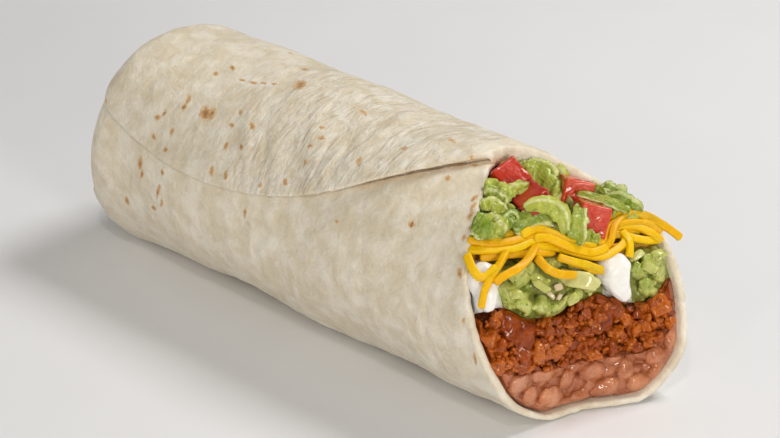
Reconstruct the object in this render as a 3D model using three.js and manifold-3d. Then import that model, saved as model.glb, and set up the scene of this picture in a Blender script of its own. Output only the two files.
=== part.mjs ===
// A filled flour tortilla roll: one end folded shut, the other open on its layered filling.
// Millimetres, +Z up. The roll lies along X with its open end towards +X. It is built as a round
// roll pressed flat at restingSag, and set down on z = 0 at the end.
// Angles go round the X axis: 0 is +Y, 90 is the top, 180 is -Y.
import * as THREE from "three";
import { mergeVertices } from "three/addons/utils/BufferGeometryUtils.js";
import Module from "manifold-3d";

const wasm = await Module();
wasm.setup();

// The roll
const openRadius = 33.4;
const closedRadius = 33.6;
const closedDrop = 0.9; // how much lower the middle of the closed end lies
const flattening = 0.97; // height of the section as a share of its width
const restingSag = 2.4; // how deep the round section is pressed flat underneath
const closedEndX = -93;
const endRounding = 16;
const endSquareness = 3.4; // exponent of the end's superellipse
const endLean = 0.13; // how far the closed end leans out towards its bottom, per mm of height
const innerEndRows = 3; // rings of the rounded end inside
const wall = 2; // one layer of tortilla
const closedWall = 8; // the folded layers at the closed end
const gap = 0.3; // between neighbouring pieces
const endGap = 2.5; // between the filling and the folded end
const finest = 0.06; // detail under this size is dropped from the cut pieces
const finestLeaf = 0.16; // and from the leaves

// The tortilla's round edge, where it laps over the roll
const tortillaRadius = 116;
const flapCentreX = -40;
const flapLowestAngle = 163;
const flapCornerX = 47.7; // where its edge meets the mouth's lip
const flapSpan = 130; // degrees over which the lapped layer sinks into the roll
const flapLift = 0.8; // extra step where the edge stands off near the mouth

// Where the mouth's lip lies along X, by angle
const lip = [
  [-180, 73],
  [-170, 75.5],
  [-158, 77.5],
  [-128, 77],
  [-90, 79.6],
  [-67, 86],
  [-48, 89],
  [-34, 89.8],
  [-15, 86.5],
  [5, 82],
  [20, 78],
  [36, 69.5],
  [50, 59.5],
  [72, 50],
  [91, 46.7],
  [108, 52],
  [125, 57.8],
  [145, 63],
  [163, 68.2],
];
const lipReach = Math.max(...lip.map(([, x]) => x));

// How the section swells or draws in at the mouth, by angle
const mouthSwell = [
  [-180, 0],
  [-130, -1],
  [-90, -0.3],
  [-52, 1],
  [-20, -0.4],
  [8, -0.6],
  [28, 0.2],
  [45, -0.7],
  [62, -1.8],
  [82, -0.8],
  [120, 0],
];

// Where the soft roll is fuller than its section: along its top, and at the closed end's lower
// corner. [x, reach along, angle, reach round, height]
const fullerPlaces = [
  [0, 60, 80, 34, 1],
  [-87, 13, -130, 38, 1.4],
];

// The filling's front, behind the lip
const lipDepth = 1.5;
const bulgeX = 77; // where the middle of the filling reaches
const bulgePower = 1.8;
// Loose pieces stand off the front along outward, and are turned about it from across and upward.
const across = new THREE.Vector3(0.682, 0.731, 0).normalize();
const outward = new THREE.Vector3(0.663, -0.618, 0.423).normalize();
const upward = new THREE.Vector3().crossVectors(outward, across).normalize();

// Where one layer of the filling ends and the next begins: [across, height] across the roll
const beansTop = [
  [-32, 24],
  [-20, 20.5],
  [-8, 17.5],
  [6, 17],
  [18, 16.5],
  [26, 21.5],
  [32, 27],
];
const crumblesTop = [
  [-32, 36],
  [-24, 37],
  [-18, 33],
  [-10, 31.5],
  [-2, 33.5],
  [8, 33],
  [14, 29.5],
  [21, 28],
  [27, 30],
  [32, 33],
];
const creamTop = [
  [-32, 47],
  [-23, 48.5],
  [-12, 47],
  [0, 45],
  [9, 41],
  [18, 41],
  [32, 41.5],
];
const cheeseTop = [
  [-32, 51.5],
  [-18, 53],
  [-4, 52],
  [4, 49],
  [10, 45],
  [18, 44.5],
  [32, 45],
];
const fillingFloor = [
  [-32, restingSag + wall + 0.5],
  [32, restingSag + wall + 0.5],
];
const fillingRoof = [
  [-32, 61.4],
  [32, 61.4],
];

const degrees = Math.PI / 180;
const centreHeight = openRadius * flattening;

// The value at a place between knots i and i + 1, by a cubic that keeps its neighbours' slopes.
function easedValue(knotAt, i, place) {
  const [a0, v0] = knotAt(i);
  const [a1, v1] = knotAt(i + 1);
  const before = knotAt(i - 1);
  const after = knotAt(i + 2);
  const span = a1 - a0;
  const s = (place - a0) / span;
  const slope0 = (v1 - before[1]) / (a1 - before[0]);
  const slope1 = (after[1] - v0) / (after[0] - a0);
  return (
    v0 * (1 + 2 * s) * (1 - s) ** 2 +
    v1 * s * s * (3 - 2 * s) +
    slope0 * span * s * (1 - s) ** 2 -
    slope1 * span * s * s * (1 - s)
  );
}

// A closed ring of [angle, value] knots.
function ringValue(knots, angle) {
  const count = knots.length;
  const turn = knots[0][0] + ((((angle - knots[0][0]) % 360) + 360) % 360);
  const knotAt = (i) => {
    const wraps = Math.floor(i / count);
    const [a, v] = knots[i - wraps * count];
    return [a + 360 * wraps, v];
  };
  let i = 0;
  while (i < count - 1 && knots[i + 1][0] <= turn) i += 1;
  return easedValue(knotAt, i, turn);
}

const lipX = (angle) => ringValue(lip, angle);

// The height of an open curve of [across, height] knots.
function curveHeight(knots, y) {
  const last = knots.length - 1;
  const knotAt = (i) => {
    const [a, v] = knots[THREE.MathUtils.clamp(i, 0, last)];
    return i < 0 || i > last ? [a + Math.sign(i) * 6, v] : [a, v];
  };
  const place = THREE.MathUtils.clamp(y, knots[0][0], knots[last][0]);
  let i = 0;
  while (i < last - 1 && knots[i + 1][0] <= place) i += 1;
  return easedValue(knotAt, i, place);
}

// How far along the roll a station is, from 0 at the closed end to 1 at the mouth.
const mouthShare = (x) => THREE.MathUtils.clamp((x - closedEndX) / (lipReach - closedEndX), 0, 1);

function bodyRadius(x, angle) {
  const swell = ringValue(mouthSwell, angle) * THREE.MathUtils.smoothstep(x, 10, 70);
  return THREE.MathUtils.lerp(closedRadius, openRadius, mouthShare(x)) + swell;
}

// The angle of the flap's edge at a station: the tortilla's circle laid round the roll.
function flapAngle(x) {
  const along = Math.abs(Math.min(x, flapCornerX) - flapCentreX);
  const rise = tortillaRadius - Math.sqrt(tortillaRadius ** 2 - along ** 2);
  return flapLowestAngle - rise / openRadius / degrees;
}

const axisHeight = (x) => centreHeight - closedDrop * (1 - mouthShare(x));

// A point of the roll's section: the radius is shrunk by a share and an inset, and held above
// the flat underside.
function sectionPoint(x, angle, share, inset, raise = 0) {
  const radius = (bodyRadius(x, angle) - inset) * share + raise;
  const y = radius * Math.cos(angle * degrees);
  const z = axisHeight(x) + radius * flattening * Math.sin(angle * degrees);
  return new THREE.Vector3(x, y, Math.max(z, restingSag + inset));
}

// Low dents and swells of the soft roll.
function undulation(x, angle) {
  const a = angle * degrees;
  const swells = fullerPlaces.map(([middle, along, way, round, height]) => {
    const away = THREE.MathUtils.euclideanModulo(angle - way + 180, 360) - 180;
    return height * Math.exp(-(((x - middle) / along) ** 2) - (away / round) ** 2);
  });
  const fuller = swells.reduce((sum, one) => sum + one, 0);
  return fuller + 0.35 * Math.sin(0.11 * x + 2 * a) + 0.25 * Math.sin(0.07 * x - 3 * a + 1.3);
}

// A closed mesh from rings of points, with a pole before the first ring and one after the last.
function closedRings(firstPole, rings, lastPole) {
  const count = rings[0].length;
  const points = [firstPole, ...rings.flat(), lastPole];
  const triangles = [];
  const at = (ring, column) => 1 + ring * count + (column % count);
  for (let c = 0; c < count; c += 1) {
    triangles.push(0, at(0, c), at(0, c + 1));
    for (let r = 0; r < rings.length - 1; r += 1) {
      triangles.push(at(r, c), at(r + 1, c), at(r + 1, c + 1));
      triangles.push(at(r, c), at(r + 1, c + 1), at(r, c + 1));
    }
    triangles.push(at(rings.length - 1, c), points.length - 1, at(rings.length - 1, c + 1));
  }
  const geometry = new THREE.BufferGeometry().setFromPoints(points);
  geometry.setIndex(triangles);
  return geometry;
}

// A three.js geometry as a solid that can be joined and cut.
function solid(geometry, weld = 1e-4) {
  const bare = geometry.clone();
  bare.deleteAttribute("normal");
  bare.deleteAttribute("uv");
  const merged = mergeVertices(bare, weld);
  const mesh = new wasm.Mesh({
    numProp: 3,
    vertProperties: merged.attributes.position.array,
    triVerts: new Uint32Array(merged.index.array),
  });
  return new wasm.Manifold(mesh);
}

const joined = (solids) => solids.reduce((whole, one) => whole.add(one));

// The largest body of a solid once detail too fine to matter is gone, so that a scrap or a
// pinch left by a cut is dropped.
function largest(shape, fineness = finest) {
  let best = shape.simplify(fineness);
  for (const weld of [1e-3, 1e-3]) {
    const bodies = solid(geometryOf(best), weld).simplify(fineness).decompose();
    best = bodies.reduce((most, one) => (one.volume() > most.volume() ? one : most));
  }
  return best;
}

// A solid cut clear of others, which are given already grown by the gap.
function cutClear(shape, ...others) {
  return largest(others.reduce((left, one) => left.subtract(one), shape));
}

function geometryOf(shape) {
  const { vertProperties, triVerts, numProp } = shape.getMesh();
  const geometry = new THREE.BufferGeometry();
  const positions = new Float32Array((vertProperties.length / numProp) * 3);
  for (let i = 0; i < positions.length / 3; i += 1) {
    positions.set(vertProperties.subarray(i * numProp, i * numProp + 3), i * 3);
  }
  geometry.setAttribute("position", new THREE.BufferAttribute(positions, 3));
  geometry.setIndex(new THREE.BufferAttribute(triVerts, 1));
  geometry.computeVertexNormals();
  return geometry;
}

// Stations of a rounded end, from its pole (share 0) to the full section (share 1).
function endStations(tipX, rounding, rows) {
  return Array.from({ length: rows }, (_, i) => {
    const turn = ((i + 1) / rows) * (Math.PI / 2);
    return {
      x: tipX + rounding * (1 - Math.cos(turn) ** (2 / endSquareness)),
      share: Math.sin(turn) ** (2 / endSquareness),
    };
  });
}

// The roll's columns run from the flap's edge once round, so the lapped edge is a clean step
// between the last column, at the lower layer's height, and the first, one layer higher.
const columns = 56;
const lastTurn = 359.2;
const turns = Array.from({ length: columns + 1 }, (_, i) => (lastTurn * i) / columns);

// The angle of a column at a station: near the flap the columns follow its curved edge.
function columnAngle(x, turn) {
  const follow = (1 + Math.cos(turn * degrees)) / 2;
  return flapLowestAngle - turn + (flapAngle(x) - flapLowestAngle) * follow;
}

// Each column's own station at the lip, where its path meets the lip curve.
const lipStations = turns.map((turn) => {
  let low = 30;
  let high = 95;
  for (let i = 0; i < 40; i += 1) {
    const middle = (low + high) / 2;
    if (middle < lipX(columnAngle(middle, turn))) low = middle;
    else high = middle;
  }
  return low;
});
const lipAngles = turns.map((turn, c) => columnAngle(lipStations[c], turn));

// How far the outer layer stands over the one below.
function layerStep(x, turn) {
  const sunk = THREE.MathUtils.smoothstep(turn, 0, flapSpan);
  const standing = flapLift * THREE.MathUtils.smoothstep(x, 15, 40) * (1 - sunk) ** 4;
  return wall * (1 - sunk) + standing;
}

// The tortilla: outer skin from the closed end's pole to the lip, then the inner skin back.
// grow thickens it on every side.
function tortillaGeometry(grow = 0) {
  const bodyRows = 18;
  const swirl = 150; // turn of the folded layers' edge from the end's rim to its middle
  const outer = (x, turn, share, inset) => {
    const angle = columnAngle(x, turn) - swirl * (1 - share);
    const raise = (layerStep(x, turn) + undulation(x, angle)) * share;
    const point = sectionPoint(x, angle, share, inset - grow, raise);
    const onEnd = 1 - THREE.MathUtils.smoothstep(x, closedEndX, closedEndX + endRounding);
    point.x -= 1.2 * layerStep(x, turn) * onEnd * share + grow * (1 - share);
    point.x += endLean * (point.z - centreHeight) * onEnd;
    return point;
  };
  const inner = (x, c, share, inset) => sectionPoint(x, lipAngles[c], share, inset + grow);
  const end = endStations(closedEndX, endRounding, 7);
  const rings = end.map(({ x, share }) => turns.map((turn) => outer(x, turn, share, 0)));
  for (let r = 1; r <= bodyRows; r += 1) {
    rings.push(
      turns.map((turn, c) => {
        const lipStart = lipStations[c] - 0.6 + grow;
        const x = THREE.MathUtils.lerp(closedEndX + endRounding, lipStart, r / bodyRows);
        return outer(x, turn, 1, 0);
      }),
    );
  }
  rings.push(turns.map((turn, c) => outer(lipStations[c] + grow, turn, 1, 0.6)));
  rings.push(turns.map((_, c) => inner(lipStations[c] + grow, c, 1, wall - 0.5)));
  rings.push(turns.map((_, c) => inner(lipStations[c] - 0.6 + grow, c, 1, wall)));
  const innerTip = closedEndX + closedWall;
  for (const { x, share } of endStations(innerTip, endRounding, innerEndRows).reverse()) {
    rings.push(turns.map((_, c) => inner(x + grow, c, share, wall)));
  }
  const outerPole = new THREE.Vector3(closedEndX - grow, 0, axisHeight(closedEndX));
  const innerPole = new THREE.Vector3(innerTip + grow, 0, axisHeight(innerTip));
  return closedRings(outerPole, rings, innerPole);
}

// The filling's front at a place of the section, before any lumps.
function faceX(y, z) {
  const up = (z - centreHeight) / flattening;
  const angle = Math.atan2(up, y) / degrees;
  const share = Math.min(Math.hypot(y, up) / (bodyRadius(lipX(angle), angle) - wall), 1.1);
  return bulgeX + (lipX(angle) - lipDepth - bulgeX) * share ** bulgePower;
}

function onFace(y, z, out = 0) {
  return new THREE.Vector3(faceX(y, z), y, z).addScaledVector(outward, out);
}

// Seeded draws, the same on every run.
function seededDraws(seed) {
  let state = seed;
  return (low = 0, high = 1) => {
    state = (state + 0x6d2b79f5) | 0;
    let t = Math.imul(state ^ (state >>> 15), 1 | state);
    t = (t + Math.imul(t ^ (t >>> 7), 61 | t)) ^ t;
    return low + (high - low) * (((t ^ (t >>> 14)) >>> 0) / 4294967296);
  };
}

// Crumbs or beans over a layer's front, in staggered rows: [across, height, size, stand].
function scatteredLumps({ pitch, size, stand, seed, low, high }) {
  const draw = seededDraws(seed);
  const lumps = [];
  for (let row = 0; low + row * pitch * 0.8 < high; row += 1) {
    for (let y = -31 + (row % 2) * pitch * 0.5; y <= 31; y += pitch) {
      lumps.push([
        y + draw(-0.25, 0.25) * pitch,
        low + (row * 0.8 + draw(-0.2, 0.2)) * pitch,
        size * draw(0.8, 1.2),
        stand * draw(0.5, 1.2),
      ]);
    }
  }
  return lumps;
}

// How far a layer's front stands forward at a place: the highest of its lumps' domes.
function relief(lumps, y, z) {
  return lumps.reduce((most, [lumpY, lumpZ, size, stand]) => {
    const away = Math.hypot(y - lumpY, z - lumpZ) / size;
    return away < 1 ? Math.max(most, stand * Math.sqrt(1 - away * away)) : most;
  }, 0);
}

// A layer of the filling: a grid over its part of the section for the front, its edge carried
// back along the roll, and a rounded end. lower and upper are height knots, sides the outermost
// places across the roll, grow thickens it on every side.
function layer({ lower, upper, sides = [-40, 40], lumps, across, up }, grow = 0) {
  const angleOf = (y, z) => Math.atan2((z - centreHeight) / flattening, y) / degrees;
  const innerAt = (x, angle) => bodyRadius(x, angle) - wall - gap + grow;
  const heightAt = (y, v) => {
    const low = curveHeight(lower, y) + gap / 2 - grow;
    const high = curveHeight(upper, y) - gap / 2 + grow;
    return THREE.MathUtils.lerp(low, high, v);
  };
  const outside = (y, v) => {
    const z = heightAt(y, v);
    const away = Math.hypot(y, (z - centreHeight) / flattening);
    const angle = angleOf(y, z);
    return away > innerAt(lipX(angle), angle);
  };
  const nearest = THREE.MathUtils.clamp(0, sides[0], sides[1]);
  // The row's end on one side: the wall, or the layer's own side where that comes first.
  const rowEnd = (v, side) => {
    const limit = side < 0 ? sides[0] + gap / 2 - grow : sides[1] - gap / 2 + grow;
    let near = nearest;
    let far = side < 0 ? Math.max(limit, -openRadius) : Math.min(limit, openRadius);
    if (!outside(far, v)) return far;
    for (let i = 0; i < 30; i += 1) {
      const half = (near + far) / 2;
      if (outside(half, v)) far = half;
      else near = half;
    }
    return near;
  };
  const front = [];
  for (let j = 0; j <= up; j += 1) {
    const v = j / up;
    const from = rowEnd(v, -1);
    const to = rowEnd(v, 1);
    for (let i = 0; i <= across; i += 1) {
      const y = THREE.MathUtils.lerp(from, to, i / across);
      const z = heightAt(y, v);
      const x = faceX(y, z) + relief(lumps, y, z) + grow;
      front.push(new THREE.Vector3(x, y, z));
    }
  }
  const at = (i, j) => j * (across + 1) + i;
  const edge = [];
  for (let i = 0; i < across; i += 1) edge.push(at(i, 0));
  for (let j = 0; j < up; j += 1) edge.push(at(across, j));
  for (let i = across; i > 0; i -= 1) edge.push(at(i, up));
  for (let j = up; j > 0; j -= 1) edge.push(at(0, j));
  const triangles = [];
  for (let j = 0; j < up; j += 1) {
    for (let i = 0; i < across; i += 1) {
      triangles.push(at(i, j), at(i + 1, j), at(i + 1, j + 1));
      triangles.push(at(i, j), at(i + 1, j + 1), at(i, j + 1));
    }
  }
  // The edge carried back: each ring is the section drawn in towards the roll's axis.
  const tipX = closedEndX + closedWall + endGap - grow;
  const floor = fillingFloor[0][1] + gap / 2 - grow;
  const points = [...front];
  let ahead = edge;
  for (const { x, share } of endStations(tipX, endRounding, innerEndRows).reverse()) {
    const ring = edge.map((index) => {
      const { y, z } = front[index];
      const angle = angleOf(y, z);
      const radiusShare = (share * innerAt(x, angle)) / innerAt(lipX(angle), angle);
      const height = axisHeight(x) + (z - centreHeight) * radiusShare;
      points.push(new THREE.Vector3(x, y * radiusShare, Math.max(height, floor)));
      return points.length - 1;
    });
    ring.forEach((index, k) => {
      const next = (k + 1) % ring.length;
      triangles.push(ahead[k], index, ring[next], ahead[k], ring[next], ahead[next]);
    });
    ahead = ring;
  }
  const centre = new THREE.Vector3();
  for (const index of ahead) centre.addScaledVector(points[index], 1 / ahead.length);
  points.push(centre);
  ahead.forEach((index, k) => {
    triangles.push(index, points.length - 1, ahead[(k + 1) % ahead.length]);
  });
  const geometry = new THREE.BufferGeometry().setFromPoints(points);
  geometry.setIndex(triangles);
  return solid(geometry);
}

// Thick red sauce lies on the crumbles: [across, height, size, stand].
const saucePools = [
  [-21, 30, 5, 1.6],
  [-17, 27, 4, 1.5],
  [6, 29, 4.6, 1.9],
  [7, 24.5, 3.4, 1.7],
  [26.5, 29, 3.6, 1.5],
];
const beansLumps = { pitch: 7.5, size: 4.4, stand: 1.6, seed: 11, low: 3, high: 24 };
const crumbleLumps = { pitch: 4.6, size: 2.9, stand: 2.5, seed: 23, low: 16, high: 37 };

// Every layer and ribbon, from the bottom up. A lump is [across, height, size, stand].
const layers = {
  refried_beans: {
    lower: fillingFloor,
    upper: beansTop,
    lumps: scatteredLumps(beansLumps),
    across: 34,
    up: 7,
  },
  seasoned_crumbles: {
    lower: beansTop,
    upper: crumblesTop,
    lumps: [...scatteredLumps(crumbleLumps), ...saucePools],
    across: 34,
    up: 9,
  },
  sour_cream_side: {
    lower: crumblesTop,
    upper: creamTop,
    sides: [-40, -22],
    lumps: [
      [-27, 42, 6, 2.6],
      [-25, 45, 4, 2],
    ],
    across: 6,
    up: 7,
  },
  guacamole_middle: {
    lower: crumblesTop,
    upper: creamTop,
    sides: [-22, 9],
    lumps: [
      [-18.5, 38.5, 4.4, 4],
      [-13.5, 41.5, 4.2, 3],
      [-12, 35.5, 4.4, 5],
      [-6.5, 39, 4.6, 4],
      [-7, 34.5, 3, 4.4],
      [-1, 36.5, 3.8, 3.6],
      [-0.5, 42, 4, 2.4],
      [4.5, 38, 3.8, 3],
    ],
    across: 18,
    up: 8,
  },
  sour_cream_middle: {
    lower: crumblesTop,
    upper: creamTop,
    sides: [9, 18],
    lumps: [
      [13, 38, 4.4, 4.4],
      [14, 33.5, 3.4, 3.6],
    ],
    across: 7,
    up: 8,
  },
  guacamole_far: {
    lower: crumblesTop,
    upper: creamTop,
    sides: [18, 40],
    lumps: [
      [20.5, 36, 4, 3.2],
      [24.5, 37.5, 4.2, 3],
      [22.5, 31.5, 3.4, 3.8],
      [28, 35, 3.6, 1.8],
    ],
    across: 8,
    up: 8,
  },
  shredded_cheese: {
    lower: creamTop,
    upper: cheeseTop,
    lumps: [],
    across: 16,
    up: 2,
  },
  shredded_lettuce: {
    lower: cheeseTop,
    upper: fillingRoof,
    lumps: scatteredLumps({ pitch: 4.6, size: 2.8, stand: 2, seed: 5, low: 46, high: 61 }),
    across: 18,
    up: 6,
  },
};

const shapes = {};
const grown = {};
for (const [name, one] of Object.entries(layers)) {
  shapes[name] = layer(one);
  grown[name] = layer(one, gap);
}
const wrap = solid(tortillaGeometry());
const wrapGrown = solid(tortillaGeometry(gap));

// Shredded cheese: each shred is [across, height, out] at its start, middle and end.
const shredWidth = 2.6;
const shredHeight = 2;
const shreds = [
  [[-23.5, 52.5, 1], [-14, 52, 1.8], [-3, 53, 2]],
  [[-25, 50.5, 1], [-15, 49.5, 2], [-3, 51, 2]],
  [[-4, 52.5, 2], [4, 47.5, 3], [12, 45.5, 2]],
  [[-6, 50, 2], [5, 44.5, 3.6], [15, 43, 2.4]],
  [[15, 47.5, 1], [27, 48.5, 2.4], [35.5, 41.5, 6]],
  [[13, 45.5, 2], [22, 46, 3], [30, 43, 4.4]],
  [[14, 44.5, 2.6], [18.5, 45.5, 3.6], [18.5, 40.5, 5]],
  [[16, 43.5, 1.6], [24, 44, 2.4], [30, 41.5, 3]],
  [[-15, 49.5, 2], [-21, 44.5, 5], [-26, 39, 6.4]],
  [[-4, 50, 2], [-12, 44, 6], [-21, 43.5, 5]],
  [[-24, 50.5, 1.2], [-25, 46.5, 3.6], [-21, 44, 5]],
  [[-11, 44.5, 5.6], [-5, 42.5, 6], [1, 42, 6]],
  [[5, 44.5, 3.6], [8, 42, 5.4], [11, 40, 5.6]],
];

function shredGeometry(points, grow) {
  const half = [shredWidth / 2 + grow, shredHeight / 2 + grow];
  const corner = 0.6;
  const outline = new THREE.Shape(
    [
      [1, corner],
      [corner, 1],
      [-corner, 1],
      [-1, corner],
      [-1, -corner],
      [-corner, -1],
      [corner, -1],
      [1, -corner],
    ].map(([u, v]) => new THREE.Vector2(u * half[0], v * half[1])),
  );
  const path = new THREE.CatmullRomCurve3(points.map(([y, z, out]) => onFace(y, z, out)));
  return new THREE.ExtrudeGeometry(outline, { steps: 6, extrudePath: path, bevelEnabled: false });
}

const below = [
  grown.seasoned_crumbles,
  grown.sour_cream_side,
  grown.guacamole_middle,
  grown.sour_cream_middle,
  grown.guacamole_far,
];
const looseShreds = joined(shreds.map((points) => solid(shredGeometry(points, 0))));
const looseShredsGrown = joined(shreds.map((points) => solid(shredGeometry(points, gap))));
shapes.shredded_cheese = cutClear(shapes.shredded_cheese.add(looseShreds), ...below, wrapGrown);

// Diced tomato: [across, height, out, turn about outward, turn about across, turn about upward].
const diceSize = 8.7;
const diceBevel = 0.7;
const dice = [
  [-0.4, 59.6, 0, 35, -25, 20],
  [-0.5, 54.6, 3.4, 38, 20, 25],
  [15.4, 53, 1, -10, 10, 12],
  [14.6, 49.3, 4.6, -12, 12, 14],
];

function diceGeometry([y, z, out, turn, nod, yaw], grow) {
  const side = diceSize + 2 * grow - 2 * diceBevel;
  const outline = new THREE.Shape(
    [
      [-1, -1],
      [1, -1],
      [1, 1],
      [-1, 1],
    ].map(([u, v]) => new THREE.Vector2((u * side) / 2, (v * side) / 2)),
  );
  const geometry = new THREE.ExtrudeGeometry(outline, {
    depth: side,
    bevelSize: diceBevel,
    bevelThickness: diceBevel,
    bevelSegments: 1,
  });
  geometry.translate(0, 0, -side / 2);
  geometry.rotateZ(turn * degrees).rotateX(nod * degrees).rotateY(yaw * degrees);
  geometry.applyMatrix4(new THREE.Matrix4().makeBasis(across, upward, outward));
  const place = onFace(y, z, out);
  return geometry.translate(place.x, place.y, place.z);
}

const diceGrown = dice.map((one) => solid(diceGeometry(one, gap)));
dice.forEach((one, i) => {
  shapes[`diced_tomato_${i + 1}`] = cutClear(
    solid(diceGeometry(one, 0)),
    grown.shredded_cheese,
    looseShredsGrown,
    wrapGrown,
    ...diceGrown.slice(0, i),
  );
});

// Lettuce: wavy strips with a small core behind them.
// A strip is its middle [across, height, out], the way it runs round from across, its length,
// how far its middle rises and its twist. The first few are the ones that lie over the tomato.
const stripThickness = 0.8;
const stripWidth = 4.4;
const strips = [
  [[4, 53.5, 6.5], -35, 12, 1.5, 10],
  [[10.5, 48.5, 6.5], -85, 9, 0.5, 5],
  [[-7.5, 58, 3], 30, 9, 1, -20],
  [[22, 50.5, 2.5], -35, 10, 1, 30],
  [[20, 53, 1.5], -30, 11, 1, -30],
];

// More strips in staggered rows over the rest of the lettuce.
const drawStrip = seededDraws(14);
for (let row = 0; row < 5; row += 1) {
  for (let y = -25 + (row % 2) * 2.6; y < 22; y += 5.2) {
    const z = curveHeight(cheeseTop, y) + 1.4 + row * 3;
    const inside = Math.hypot(y, (z - centreHeight) / flattening) < openRadius - wall - 2.6;
    if (inside) {
      strips.push([
        [y, z, drawStrip(0.8, 3)],
        drawStrip(-80, 80),
        drawStrip(8, 11),
        drawStrip(0.3, 1.5),
        drawStrip(-60, 60),
      ]);
    }
  }
}

function stripGeometry([place, turn, length, rise, twist]) {
  const along = across.clone().applyAxisAngle(outward, turn * degrees);
  const side = new THREE.Vector3().crossVectors(outward, along);
  const middle = onFace(...place);
  const rows = 5;
  const rings = [];
  for (let r = 0; r <= rows; r += 1) {
    const s = r / rows - 0.5;
    const centre = middle.clone().addScaledVector(along, s * length);
    centre.addScaledVector(outward, rise * (1 - 4 * s * s));
    const lay = side.clone().applyAxisAngle(along, (twist + 40 * Math.sin(5 * s)) * degrees);
    const normal = new THREE.Vector3().crossVectors(along, lay);
    const width = stripWidth * (0.55 + 0.45 * Math.cos(2.4 * s));
    const corner = (u, v) => {
      const wave = 0.8 * Math.sin(9 * s + 4 * u + twist) + v * stripThickness;
      return centre.clone().addScaledVector(lay, u * width).addScaledVector(normal, wave);
    };
    rings.push([
      corner(-0.5, 0.5),
      corner(0, 0.5),
      corner(0.5, 0.5),
      corner(0.5, -0.5),
      corner(0, -0.5),
      corner(-0.5, -0.5),
    ]);
  }
  const endPole = (ring) => ring[1].clone().lerp(ring[4], 0.5);
  return closedRings(endPole(rings[0]), rings, endPole(rings[rows]));
}

const looseStrips = strips.map((strip) => solid(stripGeometry(strip)));
shapes.shredded_lettuce = cutClear(
  joined([shapes.shredded_lettuce, ...looseStrips]),
  grown.shredded_cheese,
  looseShredsGrown,
  ...below,
  ...diceGrown,
  wrapGrown,
);

const finishes = {
  tortilla: { color: "#dccfb4", roughness: 0.75 },
  refried_beans: { color: "#a5603f", roughness: 0.35 },
  seasoned_crumbles: { color: "#8e3a10", roughness: 0.4 },
  sour_cream: { color: "#f3efe8", roughness: 0.3 },
  guacamole: { color: "#a5b65a", roughness: 0.45 },
  shredded_cheese: { color: "#f2b21a", roughness: 0.45 },
  diced_tomato: { color: "#c0281a", roughness: 0.25 },
  shredded_lettuce: { color: "#8fae3c", roughness: 0.5 },
};

function finishFor(name) {
  const key = Object.keys(finishes).find((one) => name.startsWith(one));
  return new THREE.MeshStandardMaterial({ ...finishes[key], metalness: 0 });
}

// The origin is under the middle of the whole roll.
const wrapBox = wrap.boundingBox();
const toOrigin = [0, 1].map((i) => -(wrapBox.min[i] + wrapBox.max[i]) / 2);

const burrito = new THREE.Group();
for (const [name, shape] of Object.entries({ tortilla: wrap, ...shapes })) {
  const fineness = name === "shredded_lettuce" ? finestLeaf : finest;
  const placed = largest(shape.translate([...toOrigin, -restingSag]), fineness);
  const mesh = new THREE.Mesh(geometryOf(placed), finishFor(name));
  mesh.name = name;
  burrito.add(mesh);
}

export default burrito;
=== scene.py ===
# %% [markdown]
# A filled flour tortilla roll
# On the real object a round wheat tortilla is rolled about layers of beans, seasoned crumbles,
# guacamole, sour cream, cheese, lettuce and tomato, folded shut at one end and open at the
# other. This script builds every part of it as surfaces from formulas and gives each one a
# procedural material. Places are worked out in millimetres in the frame of the round roll,
# whose angles go round the X axis (0 is +Y, 90 the top, 180 is -Y), and set down at the end.

import bpy
import numpy as np
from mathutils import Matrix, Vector


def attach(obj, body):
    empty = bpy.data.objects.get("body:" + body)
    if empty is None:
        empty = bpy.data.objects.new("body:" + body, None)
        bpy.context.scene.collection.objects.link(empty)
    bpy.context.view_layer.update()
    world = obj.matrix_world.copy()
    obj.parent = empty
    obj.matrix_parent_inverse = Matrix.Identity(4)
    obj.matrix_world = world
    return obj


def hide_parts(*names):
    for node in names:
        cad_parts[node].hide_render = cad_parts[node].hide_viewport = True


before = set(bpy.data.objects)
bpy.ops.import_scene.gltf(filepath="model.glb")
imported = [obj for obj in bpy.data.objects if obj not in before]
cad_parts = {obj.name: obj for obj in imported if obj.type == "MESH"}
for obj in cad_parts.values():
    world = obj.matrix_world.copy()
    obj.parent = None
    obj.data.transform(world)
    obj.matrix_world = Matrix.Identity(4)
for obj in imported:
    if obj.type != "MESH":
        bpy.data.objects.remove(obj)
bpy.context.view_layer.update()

# %% [markdown]
# The roll's own numbers
# The visible pieces have to lie where the solids are, so the roll's formulas are the same as
# the solids': a round section that changes slowly along the roll, a mouth whose lip is a curve
# of X by angle, and layers of filling between curves of height across the roll. Those curves
# are given by a few knots and joined by cubics, which is easy to change by hand.

# %% Knots of the roll and its filling, in millimetres and degrees
OPEN_RADIUS, CLOSED_RADIUS, CLOSED_DROP = 33.4, 33.6, 0.9
FLATTENING, RESTING_SAG = 0.97, 2.4
CLOSED_END_X, END_ROUNDING, END_SQUARENESS, END_LEAN = -93.0, 16.0, 3.4, 0.13
WALL, CLOSED_WALL, GAP, END_GAP = 2.0, 8.0, 0.3, 2.5
TORTILLA_RADIUS, FLAP_CENTRE_X, FLAP_LOWEST, FLAP_CORNER_X = 116.0, -40.0, 163.0, 47.7
FLAP_SPAN, FLAP_LIFT = 130.0, 0.8
CENTRE_HEIGHT = OPEN_RADIUS * FLATTENING
SET_DOWN = np.array([2.4195, 0.1998, -RESTING_SAG])

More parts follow.
